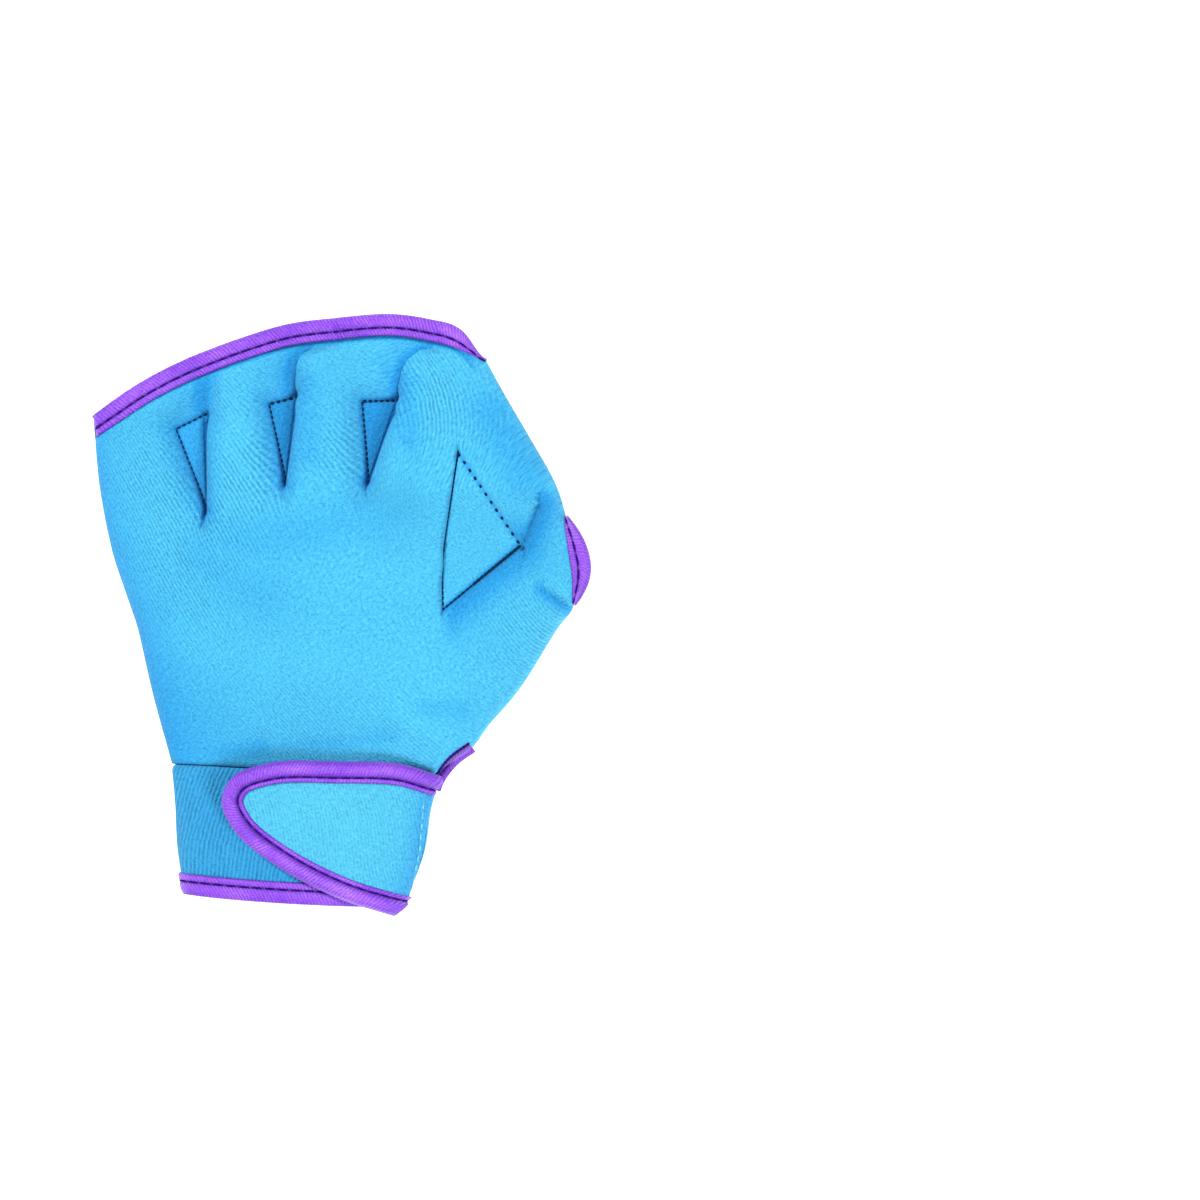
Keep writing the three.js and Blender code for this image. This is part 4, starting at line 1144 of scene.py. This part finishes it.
def tab_sheet():
    """Rings from the edge of the tab to its spine, on both faces."""
    inset = tab_edge - tab_out * TAPE_LEG
    spine = (inset + inset[::-1]) / 2
    to_corner = (run_length(tab_edge)[-1] - run_length(tab_edge))[:, None]
    edge = tab_edge - tab_out * CORNER_CUT * (1 - smooth(to_corner / 9))
    edge[:, 0] = np.minimum(edge[:, 0], tab_start_x(edge[:, 1]))
    for line in (edge, inset, spine):
        line[0, 0] = tab_start_x(line[0, 1])
        line[-1, 0] = tab_start_x(line[-1, 1])
    half = TAB_COUNT // 2 + 1
    across = []
    for share in np.linspace(0, 1, 5)[:-1]:
        across.append(mix(edge, inset, share))
    for share in np.linspace(0, 1, 13):
        across.append(mix(inset, spine, share))
    lines = np.stack(across, axis=1)
    upper = lines[:half]
    lower = lines[::-1][:half]
    plan = np.concatenate([upper, lower[:, ::-1][:, 1:]], axis=1)
    off = tab_start_x(plan[0, :, 1]) - plan[0, :, 0]
    plan[..., 0] += off[None] * np.clip(1 - np.arange(half) / FOLD_ROWS, 0, 1)[:, None]
    x = plan[..., 0]
    y = plan[..., 1]
    ripple = 0.12 * np.sin(x / 5 + y / 9)
    outer, _ = on_tab(x, y, -ripple)
    inner, _ = on_tab(x, y, WALL)
    uv = np.stack([0.95 * x + 0.25 * y + 1.2 * np.sin(y / 8), y], axis=-1)
    rings = wall_rings(place(outer), place(inner))
    # Painted shade on the tab, darkest beside the fold and fading away from it
    to_fold = tab_start_x(y) - x
    shade = 0.8 * np.exp(-((to_fold / 5) ** 2)) + 0.25 * np.exp(-((to_fold / 14) ** 2))
    marks = {"ribs": np.full(rings.shape[:2], 0.5), "painted_shade": wall_flat(np.minimum(shade, 1))}
    return tube_mesh("tab_cloth", rings, wall_rings(uv, uv), TAB_CLOTH, marks)


finish_piece(tab_sheet(), "closure_tab")


tape_to_drop = (run_length(tape_edge)[-1] - run_length(tape_edge))[:, None]
tape_travel = unit(np.gradient(tape_edge, axis=0))
tape_in = -tape_out + tape_travel * DROP_SLANT * (1 - smooth(tape_to_drop / 10))


def tab_surface(far):
    points = tape_edge + tape_in * far
    outer, normal = on_tab(points[:, 0], points[:, 1])
    inner, _ = on_tab(points[:, 0], points[:, 1], WALL)
    return outer, inner, normal


tab_tape = tape("tab_tape", tab_surface, flat(tape_out), run_length(tape_edge), 1.9, groove=TAB_GROOVE)
finish_piece(tab_tape, "tab_binding")


# The slit's tape wraps both panels on the thumb side of the wrist. Its way is the tape's outer edge.
SLIT_PLACES = ((438, 791), (442, 781), (456, 763), (474, 750))
SLIT_REACH = 0.4
SLIT_SHADOW_AT = 6.9
slit_points = even_points(spline_points([at_px(*place) for place in SLIT_PLACES], 12), 36)
slit_out = -side_way(slit_points)
slit_inward = -slit_out * SLIT_REACH
# The slit's tape is painted in full shade from its groove inwards, for the shadow where it meets the cloth's edge
plan_tape("slit_tape", slit_points, slit_out, slit_inward, False, "slit_binding", both=True, dark_from=GROOVE)


# Stitches, each a small capsule that lies along its seam
def stitches(name, points, ups, pitch, length, width, material):
    run = run_length(points)
    count = max(2, int(run[-1] / pitch))
    at = (np.arange(count) + 0.5) * run[-1] / count
    spots = np.stack([np.interp(at, run, points[:, k]) for k in range(3)], axis=1)
    travel = unit(np.stack([np.interp(at, run, np.gradient(points[:, k], run)) for k in range(3)], axis=1))
    up = unit(np.stack([np.interp(at, run, ups[:, k]) for k in range(3)], axis=1))
    side = unit(np.cross(up, travel))
    up = unit(np.cross(travel, side))
    bpy.ops.object.select_all(action="DESELECT")
    bpy.ops.mesh.primitive_uv_sphere_add(segments=8, ring_count=6, radius=0.5)
    first = bpy.context.object
    first.name = name
    shape = np.array([v.co[:] for v in first.data.vertices])
    copies = [first]
    for _ in range(count - 1):
        extra = first.copy()
        extra.data = first.data.copy()
        bpy.context.collection.objects.link(extra)
        copies.append(extra)
    for k, piece in enumerate(copies):
        local = shape[:, :1] * travel[k] * length + shape[:, 1:2] * side[k] * width + shape[:, 2:] * up[k] * width
        piece.data.vertices.foreach_set("co", (place(spots[k] + local) * MM).ravel())
        piece.select_set(True)
    bpy.context.view_layer.objects.active = first
    bpy.ops.object.join()
    bpy.ops.object.shade_smooth()
    first.data.materials.append(material)
    return first


def tape_stitches(name, surface, groove=GROOVE):
    top, _, off = surface(groove)
    points = top + off * GROOVE_STAND
    piece = stitches(name, points, off, 4.3, 3.7, 0.85, PURPLE_THREAD)
    return finish_piece(piece, None)


tape_stitches("finger_stitches_back", panel_surface(rim_points, rim_inward, False))
tape_stitches("thumb_stitches_back", panel_surface(thumb_points, thumb_inward, False))
tape_stitches("wrist_stitches", band_surface)
tape_stitches("tab_stitches", tab_surface, TAB_GROOVE)


def slit_gap_shadow():
    """A dark unbroken line of thread between the cloth and the slit's tape, standing for the shadow in the gap
    between them.
    """
    points, _, off = panel_surface(slit_points, slit_inward, False)(SLIT_SHADOW_AT)
    return stitches("slit_gap_shadow_line", points + off * 0.2, off, 1.3, 1.9, 1.1, PURPLE_THREAD)


finish_piece(slit_gap_shadow(), None)


def cloth_points(a, b, count, palm=False):
    t = np.linspace(0, 1, count)[:, None]
    plan = a + (b - a) * t
    outer, _ = cloth_levels(plan[:, 0], plan[:, 1], palm)
    return np.concatenate([plan, outer[:, None]], axis=1)


# Widths of the stitches along the upper edge and the little-finger side of each finger's web
TOP_STITCHES = (1.0, 1.6, 1.6)
SIDE_STITCHES = (0.85, 0.95, 1.1)

# The thumb's web: rows of stitches from place to place, then their pitch, length and width. The rows by its
# lip lie a little beside the lip.
LIP_SIDE = np.array([0.7, 0.0])
LIP_ROW = spline_points([THUMB_WEB[0] + LIP_SIDE, THUMB_WEB[3] + LIP_SIDE, THUMB_WEB[2] + LIP_SIDE], 3)
# The rows from the lower corner half way to the tip and by the lip overlap into unbroken dark lines: partly stitches,
# partly a painted shadow under those edges
HALF_WAY = mix(THUMB_WEB[1], THUMB_WEB[2], 0.6)
THUMB_STITCH_AND_SHADOW_ROWS = [(THUMB_WEB[0], THUMB_WEB[1], 3.1, 1.4, 1.25)]
THUMB_STITCH_AND_SHADOW_ROWS += [(THUMB_WEB[1], HALF_WAY, 1.5, 2.0, 1.5), (HALF_WAY, THUMB_WEB[2], 1.7, 1.8, 0.95)]
THUMB_STITCH_AND_SHADOW_ROWS += [(start, end, 1.4, 1.7, 0.75) for start, end in zip(LIP_ROW, LIP_ROW[1:])]


def web_stitches():
    up = np.tile([0.0, 0.0, 1.0], (30, 1))
    parts = []
    for i, web in enumerate(WEBS):
        a, b, c = web["corners"]
        for k, (start, end, width) in enumerate(((a, b, TOP_STITCHES[i]), (a, c, SIDE_STITCHES[i]))):
            points = cloth_points(start, end, 30)
            parts.append(stitches(f"web_stitch_{i}_{k}", points, up, 1.8, 1.5, width, BLUE_THREAD))
    for k, (start, end, pitch, length, width) in enumerate(THUMB_STITCH_AND_SHADOW_ROWS):
        points = cloth_points(start, end, 30)
        parts.append(stitches(f"thumb_web_stitch_{k}", points, up, pitch, length, width, BLUE_THREAD))
    bpy.ops.object.select_all(action="DESELECT")
    for part in parts:
        part.select_set(True)
    bpy.context.view_layer.objects.active = parts[0]
    bpy.ops.object.join()
    parts[0].name = "web_stitches"
    return parts[0]


finish_piece(web_stitches(), None)

def fold_stitches():
    """A row of pale stitches on the tab, beside the fold of the band."""
    route = even_points(np.array([at_px(424, 800), at_px(420, 850), at_px(411, 890)]), 30)
    points, normals = on_tab(route[:, 0], route[:, 1], -0.15)
    return stitches("fold_stitches", points, normals, 3.4, 2.4, 0.6, LIGHT_THREAD)


finish_piece(fold_stitches(), None)

# The hidden pad stays as it is, with its own finish
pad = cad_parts["hook_patch"]
pad.data.materials.clear()
pad.data.materials.append(PAD_CLOTH)


# The floor, the lights and the camera
def floor():
    """A pale table that is lit from within, so that the glove throws next to no shadow on it."""
    bpy.ops.object.select_all(action="DESELECT")
    bpy.ops.mesh.primitive_plane_add(size=6, location=(0, 0, -0.0005))
    ground = bpy.context.object
    ground.name = "floor"
    material, tree, shader = new_material("light_table", (0.9, 0.9, 0.9), 0.9)
    place_in = add_node(tree, "ShaderNodeTexCoord")
    shade = noise(tree, place_in.outputs["Object"], 3, 2)
    tree.links.new(ramp(tree, shade, ((0.3, (0.88,) * 3), (0.7, (0.92,) * 3))), shader.inputs["Base Color"])
    shader.inputs["Emission Color"].default_value = (1, 1, 1, 1)
    shader.inputs["Emission Strength"].default_value = 0.7
    ground.data.materials.append(material)


def soft_light(name, place_at, size, power):
    light = bpy.data.lights.new(name, "AREA")
    light.shape = "DISK"
    light.size = size
    light.energy = power
    lamp = bpy.data.objects.new(name, light)
    bpy.context.collection.objects.link(lamp)
    lamp.location = place_at
    lamp.rotation_mode = "QUATERNION"
    lamp.rotation_quaternion = (-Vector(place_at)).to_track_quat("-Z", "Y")


floor()
soft_light("key", (-1.4, 1.25, 2.2), 0.4, 80)
soft_light("fill", (1.4, -1.3, 1.8), 0.9, 56)
world = bpy.data.worlds.new("soft_white")
world.use_nodes = True
world.node_tree.nodes["Background"].inputs["Color"].default_value = (1, 1, 1, 1)
world.node_tree.nodes["Background"].inputs["Strength"].default_value = 0.4
bpy.context.scene.world = world
bpy.context.scene.view_settings.view_transform = "Standard"

# The photograph is 400 mm wide, and its middle is right of the glove
PHOTO_MIDDLE = at_px(600, 600)
LENS = 200
SENSOR = 36
PHOTO_WIDTH = 0.4
camera = bpy.data.cameras.new("camera")
camera.lens = LENS
camera.sensor_width = SENSOR
eye = bpy.data.objects.new("camera", camera)
bpy.context.collection.objects.link(eye)
eye.location = (
    (PHOTO_MIDDLE[0] + ORIGIN[0]) * MM,
    (PHOTO_MIDDLE[1] + ORIGIN[1]) * MM,
    PHOTO_WIDTH * LENS / SENSOR + 0.012,
)
bpy.context.scene.camera = eye
